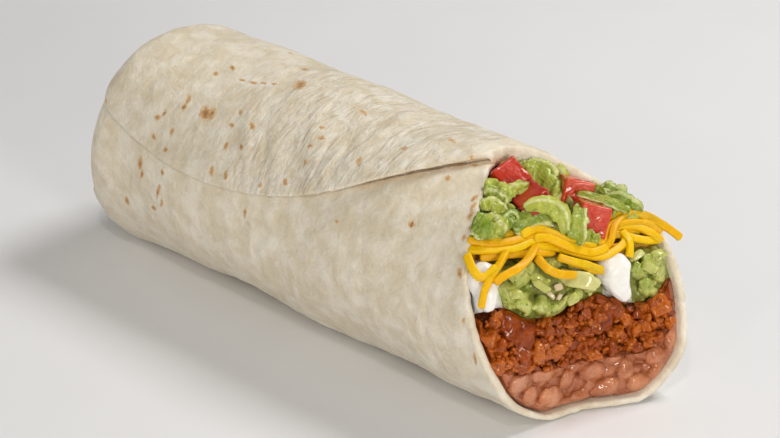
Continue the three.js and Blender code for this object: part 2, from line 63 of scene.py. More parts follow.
LIP = [(-180, 73), (-170, 75.5), (-158, 77.5), (-128, 77), (-90, 79.6), (-67, 86), (-48, 89),
       (-34, 89.8), (-15, 86.5), (5, 82), (20, 78), (36, 69.5), (50, 59.5), (72, 50),
       (91, 46.7), (108, 52), (125, 57.8), (145, 63), (163, 68.2)]
MOUTH_SWELL = [(-180, 0), (-130, -1), (-90, -0.3), (-52, 1), (-20, -0.4), (8, -0.6),
               (28, 0.2), (45, -0.7), (62, -1.8), (82, -0.8), (120, 0)]
LIP_REACH = 89.8
# Where the roll is fuller than its section: (x, reach along, angle, reach round, height).
FULLER = [(0, 60, 80, 34, 1.0), (-87, 13, -130, 38, 1.4)]

BEANS_TOP = [(-32, 24), (-20, 20.5), (-8, 17.5), (6, 17), (18, 16.5), (26, 21.5), (32, 27)]
CRUMBLES_TOP = [(-32, 36.6), (-24, 38.2), (-18, 34.6), (-10, 32.2), (-2, 33.8), (8, 33), (14, 29.5),
                (21, 28), (27, 30), (32, 33)]
CREAM_TOP = [(-32, 47), (-23, 48.5), (-12, 47), (0, 45), (9, 41), (18, 41), (32, 41.5)]
CHEESE_TOP = [(-32, 51.5), (-18, 53), (-4, 52), (4, 49), (10, 45), (18, 44.5), (32, 45)]
FLOOR_LINE = [(-32, RESTING_SAG + WALL + 0.5), (32, RESTING_SAG + WALL + 0.5)]
ROOF_LINE = [(-32, 61.4), (32, 61.4)]

# %% [markdown]
# Curves through knots, smooth steps and the shape of the roll
# Each curve is a cubic between neighbouring knots whose slope at a knot is that from the knot
# before to the knot after. The section's radius, the lip and the front of the filling all
# follow from such curves.

# %% The roll's formulas on whole arrays
def eased(knots, at, turns=False):
    """Cubic through (place, value) knots; with turns the knots close after 360 degrees."""
    places, values = np.array(knots, float).T
    if turns:
        at = places[0] + np.mod(np.asarray(at, float) - places[0], 360)
        places = np.concatenate([places[-1:] - 360, places, places[:2] + 360])
        values = np.concatenate([values[-1:], values, values[:2]])
    else:
        at = np.clip(at, places[0], places[-1])
        places = np.concatenate([places[:1] - 6, places, places[-1:] + 6])
        values = np.concatenate([values[:1], values, values[-1:]])
    i = np.clip(np.searchsorted(places, at, side="right") - 1, 1, len(places) - 3)
    span = places[i + 1] - places[i]
    s = (at - places[i]) / span
    slope0 = (values[i + 1] - values[i - 1]) / (places[i + 1] - places[i - 1])
    slope1 = (values[i + 2] - values[i]) / (places[i + 2] - places[i])
    ends = values[i] * (1 + 2 * s) * (1 - s) ** 2 + values[i + 1] * s * s * (3 - 2 * s)
    return ends + span * s * (1 - s) * (slope0 * (1 - s) - slope1 * s)


def smooth(x, low, high):
    """0 below low, 1 above high, and an S curve between."""
    t = np.clip((x - low) / (high - low), 0, 1)
    return t * t * (3 - 2 * t)


def lip_x(angle):
    return eased(LIP, angle, turns=True)


def mouth_share(x):
    return np.clip((x - CLOSED_END_X) / (LIP_REACH - CLOSED_END_X), 0, 1)


def body_radius(x, angle):
    """Radius of the section: from the closed end's to the mouth's, and the mouth's swell."""
    swell = eased(MOUTH_SWELL, angle, turns=True) * smooth(x, 10, 70)
    return CLOSED_RADIUS + (OPEN_RADIUS - CLOSED_RADIUS) * mouth_share(x) + swell


def axis_height(x):
    return CENTRE_HEIGHT - CLOSED_DROP * (1 - mouth_share(x))


def section_point(x, angle, share, inset, rise):
    """A point of the section: radius = (body radius - inset) * share + rise, pressed flat."""
    radius = (body_radius(x, angle) - inset) * share + rise
    a = np.radians(angle)
    z = axis_height(x) + radius * FLATTENING * np.sin(a)
    return np.stack(np.broadcast_arrays(x, radius * np.cos(a),
                                        np.maximum(z, RESTING_SAG + inset)), axis=-1)


def section_share(y, z, inset):
    """How far out a place is across the roll: 0 on the axis, 1 at the wall less the inset."""
    up = (z - CENTRE_HEIGHT) / FLATTENING
    angle = np.degrees(np.arctan2(up, y))
    return np.hypot(y, up) / (body_radius(lip_x(angle), angle) - WALL - inset), angle


ACROSS = np.array([0.682, 0.731, 0.0])
OUTWARD = np.array([0.663, -0.618, 0.423])
ACROSS /= np.linalg.norm(ACROSS)
OUTWARD /= np.linalg.norm(OUTWARD)
UPWARD = np.cross(OUTWARD, ACROSS)


def on_face(y, z, out=0.0):
    """A point on the filling's front: it bulges to 77 in the middle and meets the lip."""
    share, angle = section_share(y, z, 0.0)
    x = 77 + (lip_x(angle) - 1.5 - 77) * np.minimum(share, 1.1) ** 1.8
    point = np.stack(np.broadcast_arrays(x, y, z), axis=-1).astype(float)
    return point + OUTWARD * np.asarray(out, float)[..., None]


# %% [markdown]
# Random roughness that is the same on every run
# Food has no straight surface. A lattice of random values, joined smoothly, gives a soft
# roughness at any size, and a few sizes of it added up look like dough, mash or crumbs.

# %% Lattice noise
def lattice(points, seed=0):
    """Values from -1 to 1: each lattice corner has a hashed value, and an S curve joins them."""
    base = np.floor(points).astype(np.int64)
    part = points - base
    part = part * part * (3 - 2 * part)
    total = np.zeros(points.shape[:-1])
    for corner in range(8):
        step = np.array([corner & 1, (corner >> 1) & 1, (corner >> 2) & 1])
        k = base + step
        h = k[..., 0] * 73856093 ^ k[..., 1] * 19349663 ^ k[..., 2] * 83492791 ^ seed * 9973
        h = ((h ^ (h >> 13)) * 1274126177) & 0x7FFFFFFF
        value = ((h ^ (h >> 15)) & 0xFFFF) / 32767.5 - 1
        total += value * np.prod(np.where(step, part, 1 - part), axis=-1)
    return total


def rough(points, size, layers=3, seed=0, keep=0.5):
    """Lattice noise at a size in millimetres and at each half of it, each weaker by keep."""
    total = 0.0
    for i in range(layers):
        total = total + keep ** i * lattice(points / size * 2 ** i + 17.3 * i, seed + i)
    return total


# %% [markdown]
# Meshes from grids, and what each one stands for
# Every piece is one or more grids of points. A grid that closes on itself and has a pole at
# each end is a closed body. Each piece rides on the object's one body and names the solids it
# stands for.

# %% Grids to closed meshes
def ring_faces(rings, columns):
    """Quads and triangles of a closed body: a pole, rings of points, and a pole."""
    index = 1 + np.arange(rings * columns).reshape(rings, columns)
    nxt = np.roll(index, -1, axis=1)
    quads = np.stack([index[:-1], index[1:], nxt[1:], nxt[:-1]], axis=-1).reshape(-1, 4)
    zero, last = np.zeros(columns, int), np.full(columns, rings * columns + 1)
    caps = np.concatenate([np.stack([zero, index[0], nxt[0]], axis=-1),
                           np.stack([index[-1], last, nxt[-1]], axis=-1)])
    return quads, caps


def repeated(points, quads, caps):
    """Faces for many copies of a body: points is (copies, points of one, 3)."""
    copies, count = points.shape[:2]
    shift = (np.arange(copies) * count)[:, None, None]
    return (points.reshape(-1, 3), (quads[None] + shift).reshape(-1, 4),
            (caps[None] + shift).reshape(-1, 3))


made = {}


def piece(name, points, quads, caps, slot, replaces=(), values=None):
    """A smooth mesh from points in the roll's frame, in millimetres, with per-point values."""
    mesh = bpy.data.meshes.new(name)
    mesh.from_pydata((points + SET_DOWN) * 0.001, [], quads.tolist() + caps.tolist())
    mesh.shade_smooth()
    for key, value in (values or {}).items():
        value = np.asarray(value, np.float32)
        kind, field = ("FLOAT", "value") if value.ndim == 1 else ("FLOAT_VECTOR", "vector")
        mesh.attributes.new(key, kind, "POINT").data.foreach_set(field, value.ravel())
    body = bpy.data.objects.new(name, mesh)
    bpy.context.scene.collection.objects.link(body)
    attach(body, "root")
    if replaces:
        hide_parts(*replaces)
    made[name] = body
    print(f"{name}: {len(quads) * 2 + len(caps)} triangles")
    return body


# %% [markdown]
# Materials as small sums
# A procedural material is a sum of noises. One small class holds a node's output and adds a
# Math node for each sign of a formula, so that masks can be written as plain sums.

# %% Writing node materials as formulas
def maths(operation, swapped=False):
    """A sign of a formula: joins an output and an output or a number by one Math node."""
    def joined(self, other):
        pair = [other, self] if swapped else [self, other]
        return self.look.node("ShaderNodeMath", {"operation": operation}, pair)

    return joined


class Value:
    """An output of a node, with the signs + - * as Math nodes."""

    def __init__(self, look, socket):
        self.look, self.socket = look, socket

    __add__, __radd__ = maths("ADD"), maths("ADD", True)
    __sub__, __rsub__ = maths("SUBTRACT"), maths("SUBTRACT", True)
    __mul__, __rmul__ = maths("MULTIPLY"), maths("MULTIPLY", True)


class Look:
    """A Principled material and the nodes that feed it."""

    def __init__(self, name, **constants):
        self.material = bpy.data.materials.new(name)
        self.material.use_nodes = True
        self.tree = self.material.node_tree
        self.shader = self.tree.nodes["Principled BSDF"]
        for key, value in constants.items():
            self.shader.inputs[key.replace("_", " ")].default_value = value
        self.place = self.node("ShaderNodeTexCoord", {}, [], "Object")

    def node(self, kind, settings, inputs, output=0):
        """Adds a node: settings first, then inputs by place or name, as numbers or links."""
        node = self.tree.nodes.new(kind)
        for key, value in settings.items():
            setattr(node, key, value)
        pairs = inputs.items() if isinstance(inputs, dict) else enumerate(inputs)
        for key, value in pairs:
            if isinstance(value, Value):
                self.tree.links.new(value.socket, node.inputs[key])
            elif value is not None:
                node.inputs[key].default_value = value
        return Value(self, node.outputs[output])

    def stretched(self, stretch, turn=(0, 0, 0), place=None):
        """The place, turned and then stretched along each axis; stretch is in 1 per metre."""
        return self.node("ShaderNodeMapping", {}, {0: place or self.place, 2: turn, 3: stretch})

    def noise(self, size_mm, detail=3.0, roughness=0.55, place=None, warp=0.0):
        """Noise from 0 to 1 with spots about size_mm wide."""
        return self.node("ShaderNodeTexNoise", {}, {
            "Vector": place or self.place, "Scale": 1000.0 / size_mm, "Detail": detail,
            "Roughness": roughness, "Distortion": warp})

    def step(self, value, low, high, to_low=0.0, to_high=1.0):
        """An S curve from to_low at low to to_high at high."""
        return self.node("ShaderNodeMapRange", {"interpolation_type": "SMOOTHSTEP"},
                         [value, low, high, to_low, to_high])

    def mix(self, factor, first, second):
        """Between two colours, given as three numbers or a link."""
        first, second = [c if isinstance(c, Value) else (*c, 1.0) for c in (first, second)]
        return self.node("ShaderNodeMix", {"data_type": "RGBA"},
                         {0: factor, 6: first, 7: second}, 2)

    def paint(self, colour, *coats):
        """Coats laid one over another, each (how much of it shows, its colour)."""
        for share, coat in coats:
            colour = self.mix(share, colour, coat)
        return colour

    def stored(self, name, output="Fac"):
        """A value kept on the mesh's points, or with "Vector" a place kept there."""
        return self.node("ShaderNodeAttribute", {"attribute_name": name}, [], output)

    def finish(self, bodies, colour, roughness, *bumps):
        """Links colour, roughness and bumps, each (height, its size in mm), and dresses bodies."""
        self.tree.links.new(colour.socket, self.shader.inputs["Base Color"])
        self.tree.links.new(roughness.socket, self.shader.inputs["Roughness"])
        normal = None
        for height, size_mm in bumps:
            inputs = {"Height": height, "Distance": size_mm * 0.001, "Strength": 1.0}
            if normal is not None:
                inputs["Normal"] = normal
            normal = self.node("ShaderNodeBump", {}, inputs)
        if normal is not None:
            self.tree.links.new(normal.socket, self.shader.inputs["Normal"])
        for body in bodies:
            body.data.materials.append(self.material)


# %% [markdown]
# Camera, floor and light
# The camera looks at the open end from the side, a little above, from 0.9 m with a long lens,
# as a packed-food picture is usually taken. The floor is plain and pale. A soft light stands
# above and behind, weaker ones light the near side and the mouth, and two small ones put sharp
# glints on what is wet. The surroundings are an even warm grey.

# %% Camera
CAMERA_AZIMUTH, CAMERA_ELEVATION = np.radians(47.0), np.radians(25.0)
AIM = np.array([0.007403, 0.000202, 0.0306])
back = np.array([np.sin(CAMERA_AZIMUTH) * np.cos(CAMERA_ELEVATION),
                 -np.cos(CAMERA_AZIMUTH) * np.cos(CAMERA_ELEVATION), np.sin(CAMERA_ELEVATION)])
camera_data = bpy.data.cameras.new("camera")
camera_data.lens = 151.2
camera_data.sensor_width = 36.0
camera = bpy.data.objects.new("camera", camera_data)
bpy.context.scene.collection.objects.link(camera)
camera.location = Vector(AIM + 0.9 * back)
camera.rotation_euler = Vector(-back).to_track_quat("-Z", "Y").to_euler()
bpy.context.scene.camera = camera

# %% Lights and surroundings
def area_light(name, place, size, power, colour):
    """A square soft light at a place, pointing at the roll."""
    data = bpy.data.lights.new(name, "AREA")
    data.size, data.energy, data.color = size, power, colour
    light = bpy.data.objects.new(name, data)
    bpy.context.scene.collection.objects.link(light)
    light.location = place
    light.rotation_euler = (Vector(AIM) - Vector(place)).to_track_quat("-Z", "Y").to_euler()


area_light("top_light", (0.15, 0.50, 0.78), 0.30, 4.9, (1.0, 0.98, 0.945))
area_light("front_light", (-0.25, -0.80, 0.50), 0.50, 1.1, (1.0, 0.94, 0.83))
area_light("mouth_light", (0.92, -0.30, 0.28), 0.24, 3.6, (1.0, 0.95, 0.86))
area_light("spark_light", (0.55, -0.60, 0.95), 0.04, 1.4, (1.0, 0.97, 0.92))
area_light("glint_light", (0.35, -0.85, 0.42), 0.04, 0.6, (1.0, 0.97, 0.92))

world = bpy.data.worlds.new("studio")
world.use_nodes = True
world.node_tree.nodes["Background"].inputs["Color"].default_value = (1.0, 0.975, 0.92, 1.0)
world.node_tree.nodes["Background"].inputs["Strength"].default_value = 0.24
bpy.context.scene.world = world
bpy.context.scene.view_settings.view_transform = "Standard"

# %% Floor
floor_mesh = bpy.data.meshes.new("floor")
floor_mesh.from_pydata([(-3, -3, -0.0002), (3, -3, -0.0002), (3, 3, -0.0002), (-3, 3, -0.0002)],
                       [], [(0, 1, 2, 3)])
floor = bpy.data.objects.new("floor", floor_mesh)
bpy.context.scene.collection.objects.link(floor)
floor_look = Look("floor")
shade = floor_look.mix(floor_look.noise(60), (0.80, 0.81, 0.84), (0.84, 0.85, 0.88))
floor_look.finish([floor], shade, floor_look.noise(40) * 0.1 + 0.6)

# %% [markdown]
# The tortilla
# The real tortilla is one soft disc of wheat dough, about 2 mm thick, that laps once over
# itself: its round edge lies across the roll and stands off a little near the mouth. The roll
# is made as one grid: its columns start at that edge, run once round and end under it, and its
# rows run from the closed end to the lip, over the lip and back along the inside. A few extra
# columns shape the edge itself, with its underside and rounded tip.

# %% Columns round the roll and the lapped edge
MM_PER_DEGREE = 0.592  # of the flat dough, round the roll
END_SWIRL = 150  # degrees that the columns turn on their way to the closed end's middle
LOWER_FOLD, SIDE_FOLD = 1.9, 1.4  # how far the two folds at the closed end stand up
OUTER_END_ROWS, OUTER_BODY_ROWS = 26, 214


def flap_angle(x):
    """Angle of the round edge: how far the disc's edge has drawn in from its lowest place."""
    along = np.abs(np.minimum(x, FLAP_CORNER_X) - FLAP_CENTRE_X)
    rise = TORTILLA_RADIUS - np.sqrt(TORTILLA_RADIUS ** 2 - along ** 2)
    return FLAP_LOWEST - np.degrees(rise / OPEN_RADIUS)


def column_angle(x, turn):
    follow = (1 + np.cos(np.radians(turn))) / 2
    return FLAP_LOWEST - turn + (flap_angle(x) - FLAP_LOWEST) * follow


def layer_step(x, turn, up=1.0, lift=1.0):
    """Height of the lapped layer over the one below: one wall at its edge, then sinking."""
    sunk = smooth(turn, 0, FLAP_SPAN)
    thick = WALL * (0.62 + 0.38 * smooth(x, -20, 30))
    return up * thick * (1 - sunk) + lift * FLAP_LIFT * smooth(x, 15, 40) * (1 - sunk) ** 4


# Turns are closer together on the side with the lapped edge, which shows most detail.
top_side = np.concatenate([np.linspace(1.6, 110, 130), np.linspace(111.3, 255, 84)])
lower_side = np.concatenate([np.linspace(256.2, 355, 112), np.linspace(355.5, 359.2, 6)])
# The lapped edge, from under the flap round its tip: [distance in from the tip line, height as
# a share of the wall, share of the extra lift near the mouth, how browned and shaded it is].
edge_shape = np.array([(1.9, 0.03, 0.0, 1.0), (1.8, 0.16, 0.7, 1.0), (0.7, 0.2, 0.85, 1.0),
                       (-0.15, 0.3, 0.95, 0.6), (-0.5, 0.5, 1.0, 0.2), (-0.5, 0.72, 1.0, 0.0),
                       (-0.2, 0.88, 1.0, 0.0), (0.3, 0.96, 1.0, 0.0)])
turn_list = np.concatenate([top_side, lower_side, np.full(len(edge_shape), 360.0)])
edge_in = np.concatenate([np.zeros(len(top_side) + len(lower_side)), edge_shape[:, 0]])
edge_up, edge_lift = np.concatenate([np.ones((len(top_side), 2)),
                                     np.zeros((len(lower_side), 2)), edge_shape[:, 1:3]]).T
step_turn = np.concatenate([top_side, np.full(len(lower_side) + len(edge_shape), 0.0)])
inner_turn = np.concatenate([top_side, lower_side, np.linspace(359.4, 361.2, len(edge_shape))])

low, high = np.full(len(turn_list), 30.0), np.full(len(turn_list), 95.0)
for _ in range(40):
    middle = (low + high) / 2
    inside = middle < lip_x(column_angle(middle, inner_turn))
    low, high = np.where(inside, middle, low), np.where(inside, high, middle)
lip_station = low
lip_angle = column_angle(lip_station, inner_turn)

# %% Soft dents, wrinkles and the skin itself
def sheet_place(x, turn):
    """Where a point lies on the flat dough: along the roll, and round it from the edge."""
    return np.stack(np.broadcast_arrays(x, turn * MM_PER_DEGREE, 0.0), axis=-1)


def creased(x, turn):
    """Where the lapped layer is creased: towards the mouth, and away from the crown."""
    lapped = (1 - smooth(turn, 75, 135)) * smooth(lip_x(column_angle(x, turn)) - x, 0.5, 7)
    return lapped * (0.18 + 0.82 * smooth(x + 12 * lattice(sheet_place(x, turn) / 30, 9), -45, 0))


def wrinkles(x, turn):
    """Soft creases that run slanting down the lapped layer, dimples, and faint upright ones."""
    flat = sheet_place(x, turn)
    slant = np.stack([flat[..., 0] * 0.86 + flat[..., 1] * 0.5,
                      flat[..., 1] * 0.86 - flat[..., 0] * 0.5, flat[..., 2]], axis=-1)
    bend = 3.5 * lattice(flat / 12, 3) + 1.2 * lattice(flat / 5, 4)
    crease = rough(np.stack([slant[..., 0] + bend, slant[..., 1] * 0.26, slant[..., 2]],
                            axis=-1), 5.0, 3, 41, 0.6)
    upright = rough(flat * [1.0, 0.12, 1.0], 2.6, 2, 55)
    dimples = rough(flat + 0.8 * bend[..., None], 4.5, 3, 58, 0.6)
    lower = 1 - smooth(360 - turn, 60, 130)
    open_edge = smooth(np.minimum(turn, 360 - turn), 0, 12)
    swell = (0.40 * rough(flat, 17, 2, 8) + 0.13 * dimples) * open_edge
    middle = 0.5 + 0.8 * smooth(lattice(flat / 22, 77), -0.4, 0.5)
    return swell + 0.42 * crease * creased(x, turn) * middle + 0.12 * upright * np.maximum(lower, 0)


def undulation(x, angle):
    """Low dents and swells, and the places where the roll is fuller."""
    a = np.radians(angle)
    low = 0.35 * np.sin(0.11 * x + 2 * a) + 0.25 * np.sin(0.07 * x - 3 * a + 1.3)
    for middle, along, way, round_it, height in FULLER:
        away = np.mod(angle - way + 180, 360) - 180
        low = low + height * np.exp(-(((x - middle) / along) ** 2) - (away / round_it) ** 2)
    return low


def tucks(y, z):
    """The folds tucked in at the closed end: distances past their two edges, in millimetres."""
    down = z - CENTRE_HEIGHT
    bend = 1.6 * lattice(np.stack(np.broadcast_arrays(y / 9, down / 9, 0.0), axis=-1), 12)
    return 0.26 * y - down - 5 + bend, 0.93 * y + 0.35 * down - 8 + bend


def outer_skin(x, share, inset):
    """Rows of the outer skin at stations x: the section raised by the lapped layer."""
    angle = column_angle(x, turn_list) - END_SWIRL * (1 - share)
    angle = angle - np.degrees(edge_in / OPEN_RADIUS) * share
    step = layer_step(x, step_turn, edge_up, edge_lift)
    on_end = 1 - smooth(x, CLOSED_END_X, CLOSED_END_X + END_ROUNDING)
    pleats = 0.5 * on_end * np.sin(np.radians(angle * 7 + 200 * share)) * np.sin(np.pi * share)
    rise = (step + undulation(x, angle) + wrinkles(x, turn_list % 360)) * share + pleats
    point = section_point(x, angle, share, inset, rise)
    point[..., 0] -= 1.2 * step * on_end * share - 0.8 * pleats
    point[..., 0] += END_LEAN * (point[..., 2] - CENTRE_HEIGHT) * on_end
    lower, side = tucks(point[..., 1], point[..., 2])
    over = smooth(lower, -0.8, 0.8)
    folded = LOWER_FOLD * over + SIDE_FOLD * smooth(side, -0.8, 0.8) * (1 - over)
    point[..., 0] -= folded * (1 - smooth(share, 0.86, 1.0))
    return point


# %% The whole sheet as one closed grid
def rounded_end(tip, rows):
    """Stations of a rounded end by a superellipse: x by its cosine, share by its sine."""
    turn = np.arange(1, rows + 1)[:, None] / rows * np.pi / 2
    power = 2 / END_SQUARENESS
    return tip + END_ROUNDING * (1 - np.cos(turn) ** power), np.sin(turn) ** power


end_x, end_share = rounded_end(CLOSED_END_X, OUTER_END_ROWS)
rows = np.linspace(0, 1, OUTER_BODY_ROWS + 1)[1:, None]
lip_round = 1.0
ragged = 0.35 * rough(sheet_place(lip_station, turn_list * 3), 5, 2, 4)
lip_now = lip_station + ragged
body_x = (CLOSED_END_X + END_ROUNDING) * (1 - rows) + (lip_now - lip_round) * rows
bend = np.linspace(0, np.pi, 9)[1:-1, None]
lip_rows_x = lip_now - lip_round + lip_round * np.sin(bend)
skin = [outer_skin(end_x, end_share, 0.0), outer_skin(body_x, 1.0, 0.0)]
thin = np.sin(bend / 2) ** 2
skin.append(outer_skin(lip_rows_x, 1.0, 0.0) * (1 - thin[..., None])
            + section_point(lip_rows_x, lip_angle, 1.0, WALL, 0.0) * thin[..., None])
inner_x = np.concatenate([lip_now - lip_round * (1 + 3.0 * i) for i in range(4)])
inner_x = inner_x.reshape(4, -1)
back_rows = np.linspace(0, 1, 9)[1:, None]
inner_end_x, inner_end_share = rounded_end(CLOSED_END_X + CLOSED_WALL, 8)
deep_x = inner_x[-1] * (1 - back_rows) + inner_end_x[-1] * back_rows
skin.append(section_point(inner_x, lip_angle, 1.0, WALL, 0.0))
skin.append(section_point(deep_x, lip_angle, 1.0, WALL, 0.0))
skin.append(section_point(inner_end_x[-2::-1], lip_angle, inner_end_share[-2::-1], WALL, 0.0))
rings = np.concatenate(skin)
poles = np.array([[CLOSED_END_X, 0, axis_height(CLOSED_END_X)],
                  [CLOSED_END_X + CLOSED_WALL, 0, axis_height(CLOSED_END_X + CLOSED_WALL)]])
sheet = np.concatenate([poles[:1], rings.reshape(-1, 3), poles[1:]])
sheet_quads, sheet_caps = ring_faces(*rings.shape[:2])

# %% Toast spots
# Each spot is where the griddle browned the dough: [x, angle, length, width, slant], in
# millimetres and degrees. The material breaks these soft marks up into ragged browned ones.
TOAST = [
    (-45, 134, 3.4, 2.2, 20), (-43, 133, 2.6, 1.5, 60), (-25, 100, 3.4, 2.0, 40),
    (-54, 131, 1.8, 0.8, 60), (-53.6, 136, 1.4, 0.8, 60), (-58.7, 142.6, 1.4, 0.8, 70),
    (-60.3, 146, 1.3, 1.0, 10), (-53, 149, 1.6, 0.8, 80), (-53.5, 112, 1.2, 0.9, 50),
    (-51, 104.5, 1.8, 0.8, 30), (-43.5, 109.4, 1.4, 0.6, 0), (-39.4, 108.5, 1.8, 0.6, 0),
    (-36.4, 106.7, 1.6, 0.6, 0), (-32.5, 105, 1.4, 0.6, 0), (-47, 73, 1.2, 0.7, 0),
    (-33, 85, 2.2, 0.8, 0), (-26.3, 131, 1.8, 0.8, 30), (-33.5, 134.4, 1.4, 0.8, 0),
    (-33.6, 127, 1.0, 0.7, 60), (-4.5, 118, 1.1, 0.8, 0), (-1.8, 122.7, 1.3, 1.0, 0),
    (-3.4, 128.5, 1.0, 0.6, 0), (15.6, 126, 2.0, 0.8, 50), (1.3, 100.8, 2.2, 0.7, 20),
    (-1.9, 136.5, 1.4, 0.8, 70), (-5.2, 148.6, 1.6, 0.7, 50), (-13.5, 154.6, 1.0, 0.6, 80),
    (-26.7, 157, 1.6, 0.8, 85), (-32.2, 158, 1.6, 0.9, 70), (-31, 144.7, 1.4, 0.8, 80),
    (-25.4, 142, 1.2, 0.7, 40), (-58.8, 155, 1.2, 0.7, 50), (-52.6, 158, 1.1, 0.8, 0),
    (-82, 149, 1.3, 0.9, 80), (-63.3, 171, 2.4, 1.3, 100), (-62, 176, 1.8, 0.8, 100),
    (-70.7, 196.7, 1.8, 1.2, 100), (-54.5, 181, 3.0, 0.8, 110), (-53, 186, 1.6, 0.8, 110),
    (-57.3, 192, 1.2, 0.8, 0), (-52.8, 170, 1.4, 0.9, 90), (-18, 171, 2.2, 0.7, 95),
    (24.8, 112, 1.8, 0.8, 10), (34, 97.8, 2.6, 0.7, 10), (42, 114.8, 1.5, 0.9, 40),
    (41.5, 142, 1.5, 0.9, 30), (17.4, 155, 1.1, 0.6, 0), (53.4, 118, 1.6, 0.8, 80),
    (55.3, 122.7, 1.8, 0.8, 80), (56.4, 127, 1.8, 0.8, 80), (59, 132.5, 1.4, 0.8, 60),
    (59, 137.6, 1.2, 0.8, 40), (44.6, 102, 1.2, 0.7, 0), (63, 153, 2.0, 0.9, 60),
    (68.4, 173, 1.2, 0.6, 90), (72.3, 189.7, 2.6, 0.6, 90),
    (-20, 40, 2.4, 1.6, 30), (10, 20, 1.8, 1.2, 70), (-50, 30, 2.8, 1.8, 0),
    (-5, -10, 2.0, 1.4, 50), (40, 10, 1.6, 1.0, 20), (-70, 0, 2.0, 1.2, 60),
    (-30, -30, 1.8, 1.2, 80), (20, -40, 2.4, 1.6, 10), (60, -20, 1.6, 1.0, 40),
    (-60, -60, 2.0, 1.3, 30), (0, -80, 2.6, 1.8, 0), (45, -90, 2.0, 1.2, 60),
]
sheet_angle = np.degrees(np.arctan2((sheet[:, 2] - CENTRE_HEIGHT) / FLATTENING, sheet[:, 1]))
toast = np.zeros(len(sheet))
for x, angle, length, width, slant in TOAST:
    along = sheet[:, 0] - x
    round_it = np.mod(sheet_angle - angle + 180, 360) - 180
    round_it = np.radians(round_it) * OPEN_RADIUS
    a = np.radians(slant)
    u = (along * np.cos(a) + round_it * np.sin(a)) / length
    v = (round_it * np.cos(a) - along * np.sin(a)) / width
    toast = np.maximum(toast, np.exp(-1.4 * (u * u + v * v)))
outer_rows = OUTER_END_ROWS + OUTER_BODY_ROWS
is_outer = np.arange(len(sheet)) < 1 + outer_rows * len(turn_list)
toast *= is_outer
flat_place = np.zeros((len(sheet), 3))
flat_turn = np.broadcast_to(turn_list % 360, rings.shape[:2])
flat_place[1:-1] = sheet_place(rings[..., 0], flat_turn).reshape(-1, 3)
# The "under" values mark a brown band that is partly toast and partly painted shadow: under the
# lapped edge, strongest near the mouth, and along the seams of the closed end's tucked folds.
near_edge = 0.08 + 0.9 * smooth(rings[..., 0], -10, 35)
shade = np.exp(-np.mod(360 - turn_list, 360) / 4.5) * (turn_list > 300)
shade[-len(edge_shape):] = edge_shape[:, 3]
under_edge = np.concatenate([[0], (near_edge * shade).ravel(), [0]])
lower, side = tucks(sheet[:, 1], sheet[:, 2])
# Painted shade along the seams of the tucked folds at the closed end.
fold_seam_shade = np.maximum(np.exp(-((lower + 1.0) / 1.7) ** 2),
                  np.exp(-((side + 1.0) / 1.7) ** 2) * smooth(-lower, 0, 2))
under_edge += 0.5 * fold_seam_shade * (1 - smooth(sheet[:, 0], CLOSED_END_X, CLOSED_END_X + 5))
creased_share = np.zeros(len(sheet))
creased_share[1:-1] = creased(rings[..., 0], flat_turn).ravel() * is_outer[1:-1]
tortilla = piece("tortilla_wrap", sheet, sheet_quads, sheet_caps, "tortilla", ["tortilla"],
                 {"toast": toast, "under": under_edge, "creased": creased_share,
                  "flat": flat_place * 0.001})

# %% [markdown]
# The tortilla's skin
# Baked flour dough is a warm cream with paler, drier blisters and a beige where it is thin, and
# it has small toast spots from golden to dark brown. It is matt, faintly translucent, and its
# surface is covered with fine slanting creases, pits and a little flour. Its colour also holds
# painted light: painted shade in the creases and a painted highlight on the fold ridges of the
# lapped layer, and a brown band under the lapped edge and along the closed end's folds that is
# partly toast and partly painted shadow.

# %% Tortilla material
dough = Look("tortilla_dough", Subsurface_Weight=0.10, Subsurface_Radius=(0.9, 0.6, 0.35),
             Subsurface_Scale=0.002, Sheen_Weight=0.10, Sheen_Roughness=0.6,
             Specular_IOR_Level=0.35)
flat = dough.stored("flat", "Vector")
slant_place = dough.stretched((1.0, 0.36, 1.0), (0, 0, np.radians(-30)), flat)
here = dough.stored("creased")
mottle = dough.noise(8, 4, 0.6)
blister = dough.noise(2.4, 4, 0.6, None, 0.4)
patchy = dough.noise(4.0, 5, 0.68, None, 0.8)
crease = dough.noise(1.9, 4, 0.6, slant_place, 0.8)
fold = dough.noise(4.6, 3, 0.55, slant_place, 0.9)
grain = dough.noise(0.45, 2, 0.5)
